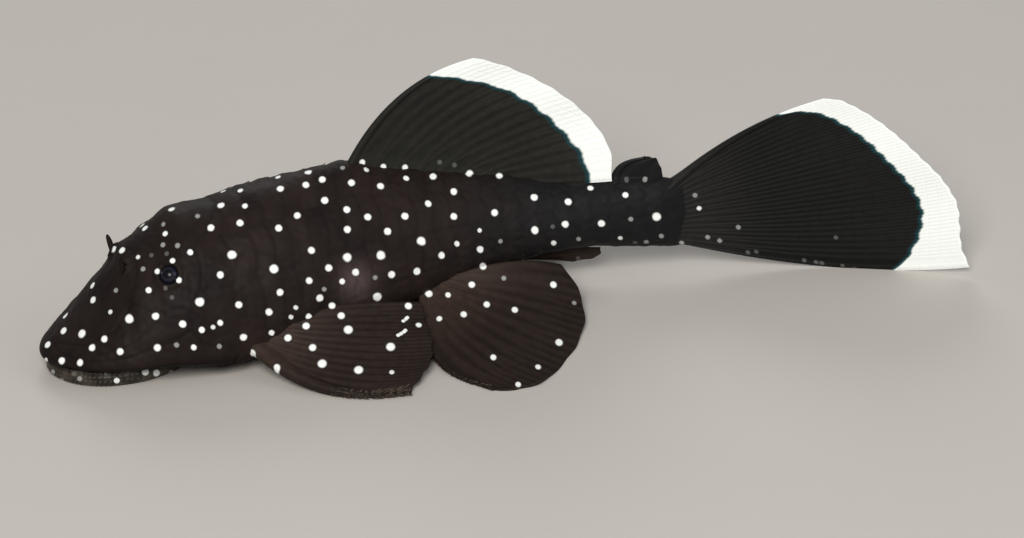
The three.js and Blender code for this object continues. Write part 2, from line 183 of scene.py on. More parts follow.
def camera_axes():
    """The camera's place and its right, up and forward directions in the swung frame, from its angles."""
    yaw, elevation, roll = map(math.radians, (YAW, ELEVATION, ROLL))
    level_forward = np.array([math.sin(yaw), math.cos(yaw), 0])
    forward = level_forward * math.cos(elevation) - np.array([0, 0, math.sin(elevation)])
    level = np.array([math.cos(yaw), -math.sin(yaw), 0])
    upright = np.cross(level, forward)
    right = level * math.cos(roll) + upright * math.sin(roll)
    return np.array(AIM) - DISTANCE * forward, right, np.cross(right, forward), forward


EYE_POINT, RIGHT, UP, FORWARD = camera_axes()


def seen_at(points):
    """Pixel places of points in the straight frame: a pinhole picture of IMAGE_WIDTH by IMAGE_HEIGHT."""
    ray = swing(points) - EYE_POINT
    depth = ray @ FORWARD
    return np.stack([IMAGE_WIDTH / 2 + FOCAL * (ray @ RIGHT) / depth,
                     IMAGE_HEIGHT / 2 - FOCAL * (ray @ UP) / depth], -1)


def facing(points, normals):
    """How normals of the straight frame face once swung: -1 straight at the camera, 1 straight away."""
    return unit(swing(points + normals * 0.01) - swing(points)) @ FORWARD


# Meshes

def add_object(name, points, faces, finish, layers, replaces=()):
    """One piece from points in the straight frame, faces as index arrays and point attributes by name."""
    mesh = bpy.data.meshes.new(name)
    corners = [face for part in faces for face in part.tolist()]
    mesh.from_pydata(placed(points.reshape(-1, 3)).tolist(), [], corners)
    mesh.shade_smooth()
    for layer, values in layers.items():
        attribute = mesh.attributes.new(layer, "FLOAT", "POINT")
        attribute.data.foreach_set("value", np.asarray(values, np.float32).ravel())
    mesh.materials.append(finish)
    piece = bpy.data.objects.new(name, mesh)
    bpy.context.scene.collection.objects.link(piece)
    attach(piece, "root")
    if replaces:
        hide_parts(*replaces)


def ring_faces(rows, columns):
    """Quads of a grid of rows by columns whose columns close on themselves."""
    row, column = np.mgrid[0:rows - 1, 0:columns]
    here, after = row * columns + column, row * columns + (column + 1) % columns
    return np.stack([here, after, after + columns, here + columns], -1).reshape(-1, 4)


def capped_faces(rows, columns):
    """Faces of such a grid and of a fan at either end: from the first row to one more point after the grid's
    own, and from the last row to the point after that. They face out where grid_normals() does."""
    count = rows * columns
    ring = np.arange(columns)
    after = np.roll(ring, -1)
    last = count - columns
    tip = np.full(columns, count)
    return [ring_faces(rows, columns), np.stack([after, ring, tip], -1),
            np.stack([ring + last, after + last, tip + 1], -1)]


def with_ends(grid, first, last):
    """A grid's values or points in one row, and after them those of the two points that close its ends."""
    return np.append(np.ravel(grid), [first, last])


def grid_normals(points, closed=True):
    """Directions square to a grid: the cross product of its steps along a row and from row to row."""
    down = np.gradient(points, axis=0)
    if closed:
        across = np.roll(points, -1, axis=1) - np.roll(points, 1, axis=1)
    else:
        across = np.gradient(points, axis=1)
    return unit(np.cross(across, down))


# Colour

def linear(hex_colour):
    """An sRGB hex colour as linear RGBA."""
    channels = [int(hex_colour[k:k + 2], 16) / 255 for k in (1, 3, 5)]
    return tuple(c / 12.92 if c <= 0.04045 else ((c + 0.055) / 1.055) ** 2.4 for c in channels) + (1,)


def node(tree, kind, inputs=None, **settings):
    """Adds one node, with its own settings and with a value or a link for each socket, by name or, where
    names repeat, by number: a Mix node of colours takes its share at 0 and the colours at 6 and 7 and gives
    the result at 2, and a Map Range node takes the value at 0 and its old and new range at 1, 2 and 3, 4."""
    made = tree.nodes.new(kind)
    for name, value in settings.items():
        setattr(made, name, value)
    for socket, value in (inputs or {}).items():
        if isinstance(value, bpy.types.NodeSocket):
            tree.links.new(value, made.inputs[socket])
        else:
            made.inputs[socket].default_value = value
    return made


COLOURS = {"data_type": "RGBA"}
EASED = {"interpolation_type": "SMOOTHSTEP"}


def new_material(name, **sockets):
    """A material with one Principled shader whose plain sockets are set, and its node tree."""
    material = bpy.data.materials.new(name)
    material.use_nodes = True
    shader = material.node_tree.nodes["Principled BSDF"]
    for socket, value in sockets.items():
        shader.inputs[socket.replace("_", " ")].default_value = value
    return material, material.node_tree, shader


def set_stops(ramp, stops):
    """Sets a ramp's (place, colour) stops: its own two first, and new ones after them."""
    for number, (place, colour) in enumerate(stops):
        stop = ramp.elements[number] if number < 2 else ramp.elements.new(place)
        stop.position = place
        stop.color = colour


def dotted(tree, under, distance, tone, white_hex, outer=1.25, inner=0.7):
    """White dots over a colour: none past the outer distance from a dot's middle, in its radii, whole within
    the inner one, and as strong as their tone."""
    white = node(tree, "ShaderNodeMapRange", {0: distance, 1: outer, 2: inner}, **EASED).outputs[0]
    shown = node(tree, "ShaderNodeMath", {0: white, 1: tone}, operation="MULTIPLY").outputs[0]
    return node(tree, "ShaderNodeMix", {0: shown, 6: under, 7: linear(white_hex)}, **COLOURS).outputs[2]


# The skin's point attributes, each with its value where nothing is marked
SKIN_LAYERS = {"dot": FAR, "tone": 0.0, "crease_and_shade": 0.0, "tint": 0.0, "cool": 0.0, "painted_sheen": 0.0}
MILK_WHITE = "#f4f7f4"
RAY_JOINTS = 1.2  # millimetres between the joints of a fin ray


def skin_material():
    """Wet armoured skin: small bony plates under thin mucus, near-black with milk-white pigment dots. It
    gives a soft satin sheen, a grain of skin teeth about 0.2 mm apart, and a faint brown mottle that turns
    neutral towards the tail. Painted into its colour are a sheen, as a paler patch behind each pectoral fin,
    and shade in the head's hollows and under the edge of the cheek. It is also darker along the plate
    creases and skull sutures."""
    material, tree, shader = new_material(
        "wet_plated_skin", Specular_IOR_Level=0.1, Coat_Weight=0.03, Coat_Roughness=0.4)
    here = node(tree, "ShaderNodeTexCoord").outputs["Object"]
    dot, tone, crease_and_shade, tint, cool, painted_sheen = (
        node(tree, "ShaderNodeAttribute", attribute_name=layer).outputs["Fac"] for layer in SKIN_LAYERS)
    broad, fine = (
        node(tree, "ShaderNodeTexNoise", {"Vector": here, "Scale": scale, "Detail": detail}).outputs["Fac"]
        for scale, detail in ((0.16 * MM, 3), (1.4 * MM, 4)))
    grain = node(tree, "ShaderNodeTexVoronoi", {"Vector": here, "Scale": 4.5 * MM}, feature="SMOOTH_F1")

    mottle = node(tree, "ShaderNodeValToRGB", {"Fac": broad})
    set_stops(mottle.color_ramp, [(0.35, linear("#150f0e")), (0.68, linear("#231a17"))])
    colour = mottle.outputs["Color"]
    # tint and cool are the skin's own tones; the last colour is a painted sheen, a paler patch behind each
    # pectoral fin
    for share, over in ((tint, "#281f1c"), (cool, "#19191a"), (painted_sheen, "#4a3e3f")):
        colour = node(tree, "ShaderNodeMix", {0: share, 6: colour, 7: linear(over)}, **COLOURS).outputs[2]
    speck = node(tree, "ShaderNodeMix", {0: 0.35, 6: colour, 7: fine}, blend_type="OVERLAY", **COLOURS)
    # Painted shade: darker in the eye hollows, nostril pits and gill slit and under the edge of the cheek;
    # the skin is also darker along the plate creases and skull sutures
    dark = node(tree, "ShaderNodeMix", {0: crease_and_shade, 6: speck.outputs[2], 7: linear("#0a0808")}, **COLOURS)
    wobble = node(tree, "ShaderNodeMath", {0: fine, 1: 0.5, 2: -0.25}, operation="MULTIPLY_ADD").outputs[0]
    ragged = node(tree, "ShaderNodeMath", {0: dot, 1: wobble}, operation="ADD").outputs[0]
    tree.links.new(dotted(tree, dark.outputs[2], ragged, tone, MILK_WHITE), shader.inputs["Base Color"])

    rough = node(tree, "ShaderNodeMapRange", {0: fine, 3: 0.55, 4: 0.75}).outputs[0]
    tree.links.new(rough, shader.inputs["Roughness"])
    teeth = node(tree, "ShaderNodeBump",
                 {"Strength": 0.5, "Distance": 0.04 / MM, "Height": grain.outputs["Distance"]}).outputs[0]
    bumps = node(tree, "ShaderNodeBump",
                 {"Strength": 0.4, "Distance": 0.06 / MM, "Height": fine, "Normal": teeth}).outputs[0]
    tree.links.new(bumps, shader.inputs["Normal"])
    return material


def fin_material(name, web_hex, ray_hex, root_hex):
    """Wet fin: thin dark skin over jointed bony rays. It gives paler ridges on a darker web, a paler fleshy
    root, fine joints across each ray, white dots, and a milk-white seam whose inner edge is blue-green."""
    material, tree, shader = new_material(
        name, Specular_IOR_Level=0.12, Coat_Weight=0.04, Coat_Roughness=0.4)
    here = node(tree, "ShaderNodeTexCoord").outputs["Object"]
    dot, tone, ridge, reach, past = (
        node(tree, "ShaderNodeAttribute", attribute_name=layer).outputs["Fac"]
        for layer in ("dot", "tone", "ridge", "reach", "seam"))
    fine = node(tree, "ShaderNodeTexNoise", {"Vector": here, "Scale": 1.1 * MM, "Detail": 4}).outputs["Fac"]
    fleshy = node(tree, "ShaderNodeMapRange", {0: reach, 1: 1, 2: 11, 3: 0.85, 4: 0}, **EASED).outputs[0]
    colour = linear(web_hex)
    for share, over in ((ridge, ray_hex), (fleshy, root_hex)):
        colour = node(tree, "ShaderNodeMix", {0: share, 6: colour, 7: linear(over)}, **COLOURS).outputs[2]
    speck = node(tree, "ShaderNodeMix", {0: 0.4, 6: colour, 7: fine}, blend_type="OVERLAY", **COLOURS)

    seam = node(tree, "ShaderNodeMath", {0: fine, 1: 0.3, 2: past}, operation="MULTIPLY_ADD").outputs[0]
    tinge = node(tree, "ShaderNodeMapRange", {0: seam, 1: -0.45, 2: 0.05}, **EASED).outputs[0]
    bright = node(tree, "ShaderNodeMapRange", {0: seam, 1: 0.05, 2: 0.4}, **EASED).outputs[0]
    edge = node(tree, "ShaderNodeMix", {0: tinge, 6: speck.outputs[2], 7: linear("#123b40")}, **COLOURS)
    band = node(tree, "ShaderNodeMix", {0: bright, 6: edge.outputs[2], 7: linear("#f6fbf8")}, **COLOURS)
    tree.links.new(dotted(tree, band.outputs[2], dot, tone, MILK_WHITE), shader.inputs["Base Color"])

    rough = node(tree, "ShaderNodeMapRange", {0: fine, 3: 0.55, 4: 0.75}).outputs[0]
    tree.links.new(rough, shader.inputs["Roughness"])
    to_joint = node(tree, "ShaderNodeMath", {0: reach, 1: RAY_JOINTS / 2}, operation="PINGPONG").outputs[0]
    beside = node(tree, "ShaderNodeMapRange", {0: to_joint, 1: 0.0, 2: 0.12}).outputs[0]
    height = node(tree, "ShaderNodeMath", {0: beside, 1: ridge}, operation="MULTIPLY").outputs[0]
    joints = node(tree, "ShaderNodeBump",
                  {"Strength": 0.4, "Distance": 0.06 / MM, "Height": height}).outputs[0]
    bumps = node(tree, "ShaderNodeBump",
                 {"Strength": 0.35, "Distance": 0.05 / MM, "Height": fine, "Normal": joints}).outputs[0]
    tree.links.new(bumps, shader.inputs["Normal"])
    return material


def lip_material():
    """Soft lip flesh, wet: thin dusky skin over blood and fat. It gives an olive grey that light enters a
    little, with darker blotches, paler pimples and a few white dots."""
    material, tree, shader = new_material(
        "soft_lip_flesh", Specular_IOR_Level=0.2, Subsurface_Weight=0.12, Subsurface_Scale=0.6 / MM,
        Coat_Weight=0.08, Coat_Roughness=0.3)
    here = node(tree, "ShaderNodeTexCoord").outputs["Object"]
    dot, tone, pimple = (node(tree, "ShaderNodeAttribute", attribute_name=layer).outputs["Fac"]
                         for layer in ("dot", "tone", "pimple"))
    broad = node(tree, "ShaderNodeTexNoise", {"Vector": here, "Scale": 0.6 * MM, "Detail": 4}).outputs["Fac"]
    blotch = node(tree, "ShaderNodeMapRange", {0: broad, 1: 0.42, 2: 0.6}).outputs[0]
    base = node(tree, "ShaderNodeMix", {0: blotch, 6: linear("#1f1a17"), 7: linear("#3d372f")}, **COLOURS)
    raised = node(tree, "ShaderNodeMix", {0: pimple, 6: base.outputs[2], 7: linear("#565045")}, **COLOURS)
    colour = dotted(tree, raised.outputs[2], dot, tone, "#e9eee9", outer=1.15, inner=0.8)
    tree.links.new(colour, shader.inputs["Base Color"])
    rough = node(tree, "ShaderNodeMapRange", {0: broad, 3: 0.35, 4: 0.55}).outputs[0]
    tree.links.new(rough, shader.inputs["Roughness"])
    bumps = node(tree, "ShaderNodeBump", {"Strength": 0.3, "Distance": 0.05 / MM, "Height": broad})
    tree.links.new(bumps.outputs[0], shader.inputs["Normal"])
    return material


def eye_material():
    """Living eye: a clear cornea over a dark iris. It gives one sharp wet highlight over blue-black, a paler
    ring where the iris meets the pupil, and fine streaks that run outwards."""
    material, tree, shader = new_material(
        "clear_cornea_over_iris", Roughness=0.35, Specular_IOR_Level=0.1, Coat_Weight=0.3,
        Coat_Roughness=0.05)
    from_axis, streak = (node(tree, "ShaderNodeAttribute", attribute_name=layer).outputs["Fac"]
                         for layer in ("from_axis", "streak"))
    iris = node(tree, "ShaderNodeMix", {0: streak, 6: linear("#15161f"), 7: linear("#1e2030")}, **COLOURS)
    shown = node(tree, "ShaderNodeValToRGB", {"Fac": from_axis})
    shares = ((0.36, 0), (0.41, 1), (0.85, 0.5), (1.0, 0.05))
    set_stops(shown.color_ramp, [(place, (share, share, share, 1)) for place, share in shares])
    colour = node(tree, "ShaderNodeMix",
                  {0: shown.outputs["Color"], 6: linear("#07080e"), 7: iris.outputs[2]}, **COLOURS)
    tree.links.new(colour.outputs[2], shader.inputs["Base Color"])
    return material


def tooth_material(name, root_hex, tip_hex):
    """Bare skin tooth: enamel-like cap over bone. It gives a pale, faintly glossy point on a darker foot."""
    material, tree, shader = new_material(name, Roughness=0.45, Specular_IOR_Level=0.25)
    tip = node(tree, "ShaderNodeAttribute", attribute_name="tip").outputs["Fac"]
    colour = node(tree, "ShaderNodeMix", {0: tip, 6: linear(root_hex), 7: linear(tip_hex)}, **COLOURS)
    tree.links.new(colour.outputs[2], shader.inputs["Base Color"])
    return material


SKIN = skin_material()
BACK_FIN = fin_material("dark_back_fin", "#1b1b19", "#252420", "#22221e")
# Painted shade: the tail fin's colours are the back fin's made darker, to offset the light that its broad
# side faces
TAIL_FIN = fin_material("tail_fin_painted_darker", "#0f1010", "#191918", "#232221")
BROWN_FIN = fin_material("brown_paired_fin", "#1e1613", "#29201b", "#372b25")
LIP = lip_material()
IRIS = eye_material()
SKIN_TOOTH = tooth_material("enamelled_skin_tooth", "#1c1512", "#4a3b31")
SPINE_TOOTH = tooth_material("worn_spine_tooth", "#241c18", "#66594d")
MOUTH_TOOTH = tooth_material("amber_mouth_tooth", "#b9a98c", "#a5622c")


# White dots

# Middles of the dots in the photograph, read off in its 1024 by 538 pixels, by size and brightness
NEAR_DOTS = {
    "large": [(129, 319), (200, 301), (82, 333), (232, 254), (380, 255), (422, 242), (347, 257.5), (274, 268),
              (378, 296), (349, 330), (390, 347), (322.3, 363.7), (358.7, 370), (558.6, 342.5), (656, 217)],
    "full": [(171.6, 209), (145.5, 228), (113, 248.5), (121.5, 250), (221, 275.5), (91.5, 285.5),
             (93.5, 299.5), (65.5, 315.5), (239, 304), (155, 316), (183, 325), (63, 331), (104.5, 339.5),
             (243, 336), (47, 345), (93, 348), (120.5, 351), (158, 348), (253.5, 353.5), (61.5, 361),
             (80, 362.5), (220.5, 205), (210.5, 227), (241, 223.5), (280, 188.5), (308, 173), (306, 184),
             (322.5, 179.5), (325, 201), (298, 215), (278.5, 228), (312, 250), (329, 269), (309.5, 281.5),
             (281, 293), (320, 298), (351, 183.5), (381, 186), (433, 176), (469.5, 174), (499, 176.5),
             (454.5, 191.5), (428.5, 204.5), (346.5, 210), (368.5, 217), (405.5, 216.5), (454.5, 215.5),
             (494, 213), (348, 230), (387.5, 232.5), (480.5, 249), (441, 255.5), (356, 273), (391, 275),
             (417, 270.5), (331, 305), (341, 316), (306, 326), (288, 338), (313, 347.5), (277, 368),
             (408.3, 306), (269, 312), (533.5, 197.5), (568.5, 201.5), (535.5, 229), (565.5, 224.5),
             (601.5, 223.5), (471.5, 284.5), (482.5, 266.5), (487, 305), (515.5, 310), (463.5, 314.5),
             (493.5, 357.5), (537.5, 366.5), (518, 384.3), (553.5, 284.5), (428.5, 293), (535, 231)],
    "medium": [(141, 223), (165, 234.5), (190, 253), (172.5, 261), (158, 271.5), (178.5, 279.5), (148, 289.5),
               (220.5, 322.5), (201.5, 330), (194, 348.5), (245.5, 205), (223.5, 191), (240.5, 191),
               (278, 177.5), (342.5, 281), (362, 162), (366, 170), (383.5, 166.5), (405, 167),
               (405.5, 178.5), (457.5, 243.5), (439, 318), (419, 325), (553, 242.5), (591, 188), (626, 195),
               (447.5, 294.5), (271, 332), (309, 316)],
    "small": [(213.5, 326.5), (111, 311.5), (217, 187), (138, 257), (46, 360), (479, 230), (392, 372.5),
              (290, 317), (621, 238.5), (698, 208.5), (295.5, 308)],
    "dim": [(164, 224), (162.5, 245), (177, 246), (143, 268.5), (127, 267.5), (116, 290.5), (177, 345.5),
            (220, 347), (198, 217), (342, 167.5), (501, 241.5), (645, 180), (631, 219), (647, 242),
            (662, 236), (683, 242.5), (707, 237.5), (719, 240.5), (695, 195.5), (739, 227), (574.5, 303),
            (579, 239.5), (504, 278.5), (375.5, 277.5), (324.5, 289.5)],
    "faint": [(167, 253), (152, 256), (166, 289), (171, 297), (439.5, 162.5), (454.5, 165), (636, 242.5),
              (626, 180), (552, 226.5), (748.5, 252), (755, 252), (803, 260.5), (815, 262.5), (822, 263.5),
              (842, 266), (853.5, 269), (836, 237.5), (578, 258.5)],
    "streak": [(398.5, 335.3), (401, 333.5), (403.5, 331.8), (405.5, 330.2), (403.2, 321), (405.5, 319.3),
               (407.8, 317.6)],
}
LIP_DOTS = {
    "full": [(157, 373.5), (146, 372)],
    "medium": [(116.5, 381)],
    "dim": [(53, 372), (63, 380), (80, 379), (171, 372)],
    "faint": [(74, 373.5), (95.5, 369), (106, 373.5), (129, 370)],
}

DOT = 0.37  # radius of a full dot
# Radius and brightness of each sort
KINDS = {"large": (0.45, 1), "full": (DOT, 1), "medium": (0.31, 1), "small": (0.26, 0.85),
         "dim": (0.27, 0.3), "faint": (0.25, 0.09), "streak": (0.2, 1)}
TAIL_FIN_FROM = 690  # in pixels: dots beyond are the tail fin's
DEPTH_SHARE = 0.6  # how much a distance away from the camera counts in a dot
SPACING = [(0, 2.0), (12, 2.3), (22, 3.3), (50, 3.3), (70, 2.8)]  # millimetres between dots, by place along
EYE_DOTS = dict(within=4, spacing=1.5, radius=0.62, tone=0.8)  # closer, smaller and dimmer near the eye
SEEN, HIDDEN = -0.12, 0.2  # how skin faces that the photograph shows, and that it doesn't


def dots_at(points, shown, groups, reach, seats=None):
    """Middles, radii and tones of dots: each pixel's dot goes to the shown grid point that the camera sees
    nearest to it, or to the seat with that point's number, and is left out where none is seen within the
    reach, in pixels."""
    flat = (points if seats is None else seats).reshape(-1, 3)
    shown = np.flatnonzero(shown)
    places = seen_at(points.reshape(-1, 3)[shown])
    middles, radii, tones = [], [], []
    for kind, pixels in groups.items():
        for pixel in pixels:
            away = np.hypot(*(places - pixel).T)
            best = np.argmin(away)
            if away[best] < reach:
                middles.append(flat[shown[best]])
                radii.append(KINDS[kind][0])
                tones.append(KINDS[kind][1])
    return middles, radii, tones


def dot_layers(points, middles, radii, tones):
    """Distance from each point to the nearest dot's middle over its radius, 1 on its edge, and that dot's
    tone. A distance away from the camera counts for less, so that a dot on a slant looks round in the
    photograph."""
    flat = points.reshape(-1, 3)
    nearest = np.full(len(flat), FAR)
    tone = np.zeros(len(flat))
    for middle, radius, value in zip(middles, radii, tones):
        way = flat - middle
        deep = way @ FORWARD
        away = np.sqrt((way**2).sum(axis=1) - (1 - DEPTH_SHARE**2) * deep**2) / radius
        closer = away < nearest
        nearest[closer] = away[closer]
        tone[closer] = value
    return {"dot": nearest, "tone": tone}


def spread_dots(candidates, spacing, taken, tries, seed):
    """Seeded random dots on the candidates, one after another, each kept only where every dot so far, the
    taken ones too, is farther off than the spacing there."""
    draw = np.random.default_rng(seed)
    kept = [np.array(point) for point in taken]
    for index in draw.permutation(len(candidates))[:tries]:
        point = candidates[index]
        room = np.min(np.linalg.norm(np.array(kept) - point, axis=1))
        if room > spacing[index] * draw.uniform(0.85, 1.15):
            kept.append(point)
    return np.array(kept[len(taken):])


# Body

def body(along, turn):
    """The bare body: at each place along, an upright section |y/wide|^round + |z/tall|^round = 1, with one
    tall and round above its widest level and another below. Turn is 0 on the back, 90 on the left flank and
    180 on the belly."""
    middle = curve(WIDEST, along)
    behind = np.maximum(along - SNOUT_TIP, 0)
    wide = curve(HALF_WIDTH, along) * np.sqrt(1 - np.maximum(1 - behind / SNOUT_ROUND, 0) ** 2)
    flat = np.sqrt(1 - np.maximum(1 - behind / LIP_ROUND, 0) ** 2)
    c, s = np.cos(np.radians(turn)), np.sin(np.radians(turn))
    above = c > 0
    rounding = np.where(above, curve(ARCH, along), curve(KEEL, along))
    tall = np.where(above, curve(BACK, along) - middle, middle - curve(BELLY, along)) * flat
    narrowed = 1 - 0.96 * smooth(along, NARROWS_FROM, SKIN_END)
    side = -wide * narrowed * power(s, 2 / rounding)
    return np.stack(np.broadcast_arrays(along, side, middle + tall * power(c, 2 / rounding)), -1)


def seat(form, side):
    """A frame on the bare body where a form sits, on the fish's left for side 1 and on its right for -1: its
    middle, and its axes back, across and out of the skin."""
    along, turn = form["along"], side * form["turn"]
    middle = body(along, turn)
    back = unit(body(along + 0.3, turn) - middle)
    across = unit(body(along, turn + 2) - middle)
    out = unit(np.cross(back, across))
    out = out if out[2] > 0 else -out
    return middle, back, unit(np.cross(out, back)), out


# Edges of the skull's plates and of the gill cover on either side, as (along, half turn) points
SUTURES = [
    [(20.6, 0), (20.2, 14), (18.6, 26), (17.0, 33)],
    [(17.0, 33), (17.4, 44), (16.8, 56), (20.4, 57), (21.2, 44), (20.0, 30)],
    [(10.8, 0), (11.4, 18), (11.0, 30), (9.6, 44), (7.6, 52), (4.6, 50), (2.6, 32)],
    [(16.8, 56), (15.4, 62), (12.2, 58), (9.6, 44)],
    [(15.4, 62), (15.0, 74), (16.2, 84), (19.2, 88)],
    [(12.2, 58), (11.0, 66), (8.2, 68), (5.4, 66)],
    [(15.0, 74), (11.6, 78), (8.6, 78), (5.6, 76), (3.6, 66), (2.2, 46), (1.9, 0)],
]
GILL_EDGE = [(18.4, 84), (19.6, 96), (19.2, 112), (17.0, 128), (14.0, 140)]
TURN_LENGTH = 0.155  # millimetres of skin for each degree of turn, about the head


def from_lines(along, half, lines):
    """Distance in millimetres from each place on the skin to the nearest of the lines."""
    spot = np.stack([along, half * TURN_LENGTH], -1)
    nearest = np.full(along.shape, FAR)
    for line in lines:
        corners = np.array(line, float) * (1, TURN_LENGTH)
        for start, end in zip(corners[:-1], corners[1:]):
            way = end - start
            share = np.clip(((spot - start) @ way) / (way @ way), 0, 1)
            nearest = np.minimum(nearest, np.linalg.norm(spot - start - share[..., None] * way, axis=-1))
    return nearest


def plate_relief(along, half):
    """Height of the armour plates: each rises evenly to its rear edge and drops there, is highest along its
    row's middle, and its rear edge bows back. Also the crease behind each edge, and the plate's number."""
    row = np.clip(np.searchsorted(PLATE_ROWS, half, side="right") - 1, 0, len(PLATE_ROWS) - 2)
    share = (half - PLATE_ROWS[row]) / (PLATE_ROWS[row + 1] - PLATE_ROWS[row])
    keel = np.where(share <= 1, np.sin(np.pi * np.clip(share, 0, 1)), 0)
    count = (along - PLATE_BOW * (keel - 0.5) - PLATES_FROM) / PLATE_LENGTH
    part = count - np.floor(count)
    ramp = np.where(part < PLATE_TOP, (part / PLATE_TOP) ** 0.8, (1 - part) / PLATE_DROP)
    shown = smooth(along, PLATES_FROM - 0.6, PLATES_FROM + 1.4)
    shown = shown * (1 - smooth(along, TAIL_ROOT - 1, TAIL_ROOT + 1))
    shown = shown * (1 - smooth(half, PLATE_ROWS[-1] - 8, PLATE_ROWS[-1]))
    crease_and_shade = np.exp(-part / 0.07) + bell(np.abs(share - 0.5) - 0.5, 0.05)
    height = (PLATE_RISE + PLATE_RIDGE * (keel - 1)) * ramp * shown
    return height, crease_and_shade * shown, np.floor(count) * 7 + row * 3


def head_relief(points, along, half):
    """Height of the head's forms: rims round the eyes with a hollow within, nostril rims and pits, sunk
    edges of the skull plates, and the edge of the gill cover. Also how dark each is painted: shade in the
    eye hollows, nostril pits and gill slit, and darker lines along the sutures."""
    suture = from_lines(along, half, SUTURES)
    height = -SUTURE["depth"] * bell(suture, SUTURE["width"])
    crease_and_shade = bell(suture, SUTURE["dark_width"]) * SUTURE["dark"]
    gill = from_lines(along, half, [GILL_EDGE])
    lip = GILL["lip"] * bell(gill - GILL["lip_off"], GILL["lip_width"])
    open_part = smooth(half, GILL_EDGE[0][1], GILL_EDGE[2][1])
    height -= (GILL["depth"] * bell(gill, GILL["width"]) - lip) * open_part
    # Painted shade in the slit under the gill cover's edge
    crease_and_shade = np.maximum(crease_and_shade, bell(gill, GILL["dark_width"]) * open_part * GILL["dark"])
    for side in (1, -1):
        middle = seat(EYE, side)[0]
        away = np.linalg.norm(points - middle, axis=-1)
        ring = math.sqrt((EYE["radius"] + EYE["gap"]) ** 2 - EYE["sunk"] ** 2) + EYE["rim"] * 0.3
        height += EYE["rim"] * 0.9 * bell(away - ring, EYE_HOLLOW["rim_width"])
        height -= EYE_HOLLOW["depth"] * (1 - smooth(away, EYE["radius"] * 0.72, ring - 0.18))
        # Painted shade in the eye's hollow, round the eyeball
        crease_and_shade = np.maximum(crease_and_shade, 0.5 - 0.5 * smooth(away, ring - 0.45, ring - 0.1))
        middle, back, across, out = seat(NOSTRIL, side)
        away = np.hypot((points - middle) @ back / NOSTRIL_PIT["length"], (points - middle) @ across)
        away = np.where((points - middle) @ out > -2, away, FAR)  # not through the head to its underside
        height += NOSTRIL_PIT["rim"] * bell(away - NOSTRIL["radius"], NOSTRIL_PIT["rim_width"])
        height -= NOSTRIL_PIT["depth"] * (1 - smooth(away, 0.2, NOSTRIL["radius"] - 0.1))
        # Painted shade in the nostril pit
        crease_and_shade = np.maximum(crease_and_shade, 1 - smooth(away, 0.25, NOSTRIL["radius"] - 0.05))
    return height, crease_and_shade


TIP_ROWS, HEAD_ROWS, TRUNK_ROWS, AROUND = 28, 128, 252, 222  # the skin's grid


def skin_grid():
    """Places along and turns of the skin's grid: closer at the snout, and even in millimetres round it."""
    tip = 3 * (np.arange(1, TIP_ROWS + 1) / TIP_ROWS) ** 2 + SNOUT_TIP + FIRST_SECTION
    head = np.linspace(tip[-1], HEAD_END, HEAD_ROWS + 1)[1:]
    trunk = np.linspace(HEAD_END, SKIN_END, TRUNK_ROWS + 1)[1:]
    turns = np.linspace(0, 360, 3601)
    outline = body(30, turns)
    length = np.concatenate([[0], np.cumsum(np.linalg.norm(np.diff(outline, axis=0), axis=1))])
    even = np.interp(np.linspace(0, length[-1], AROUND, endpoint=False), length, turns)
    return np.meshgrid(np.concatenate([tip, head, trunk]), even, indexing="ij")


def skin_dots(points, normals, along):
    """Dots of the body: those that the photograph shows, and on all that it doesn't show, random ones as far
    apart. None lies in an eye's hollow."""
    flat = points.reshape(-1, 3)
    away = facing(points, normals).ravel()
    middle, back, across = seat(EYE, 1)[:3]
    beside_eye = np.hypot((flat - middle) @ back, (flat - middle) @ across) > EYE["radius"] + 0.1
    groups = {kind: [pixel for pixel in pixels if pixel[0] < TAIL_FIN_FROM]
              for kind, pixels in NEAR_DOTS.items()}
    middles, radii, tones = dots_at(points, (away < SEEN) & beside_eye, groups, reach=5)

    far_eye = seat(EYE, -1)[0]
    from_eye = np.linalg.norm(flat - far_eye, axis=1)
    spacing = np.interp(along.ravel(), *zip(*SPACING))
    spacing = np.where(from_eye < EYE_DOTS["within"], EYE_DOTS["spacing"], spacing)
    hidden = (away > HIDDEN) & (along.ravel() < TAIL_ROOT - 0.5) & (from_eye > EYE["radius"] + 0.9)
    extra = spread_dots(flat[hidden], spacing[hidden], middles, tries=6000, seed=11)
    draw = np.random.default_rng(12)
    close = np.linalg.norm(extra - far_eye, axis=1) < EYE_DOTS["within"]
    radii += list(DOT * np.where(close, EYE_DOTS["radius"], 1) * draw.uniform(0.8, 1.12, len(extra)))
    dim = draw.uniform(size=len(extra)) < 0.2
    tones += list(np.where(dim, 0.4, 1.0) * np.where(close, EYE_DOTS["tone"], 1))
    return dot_layers(points, middles + list(extra), radii, tones)


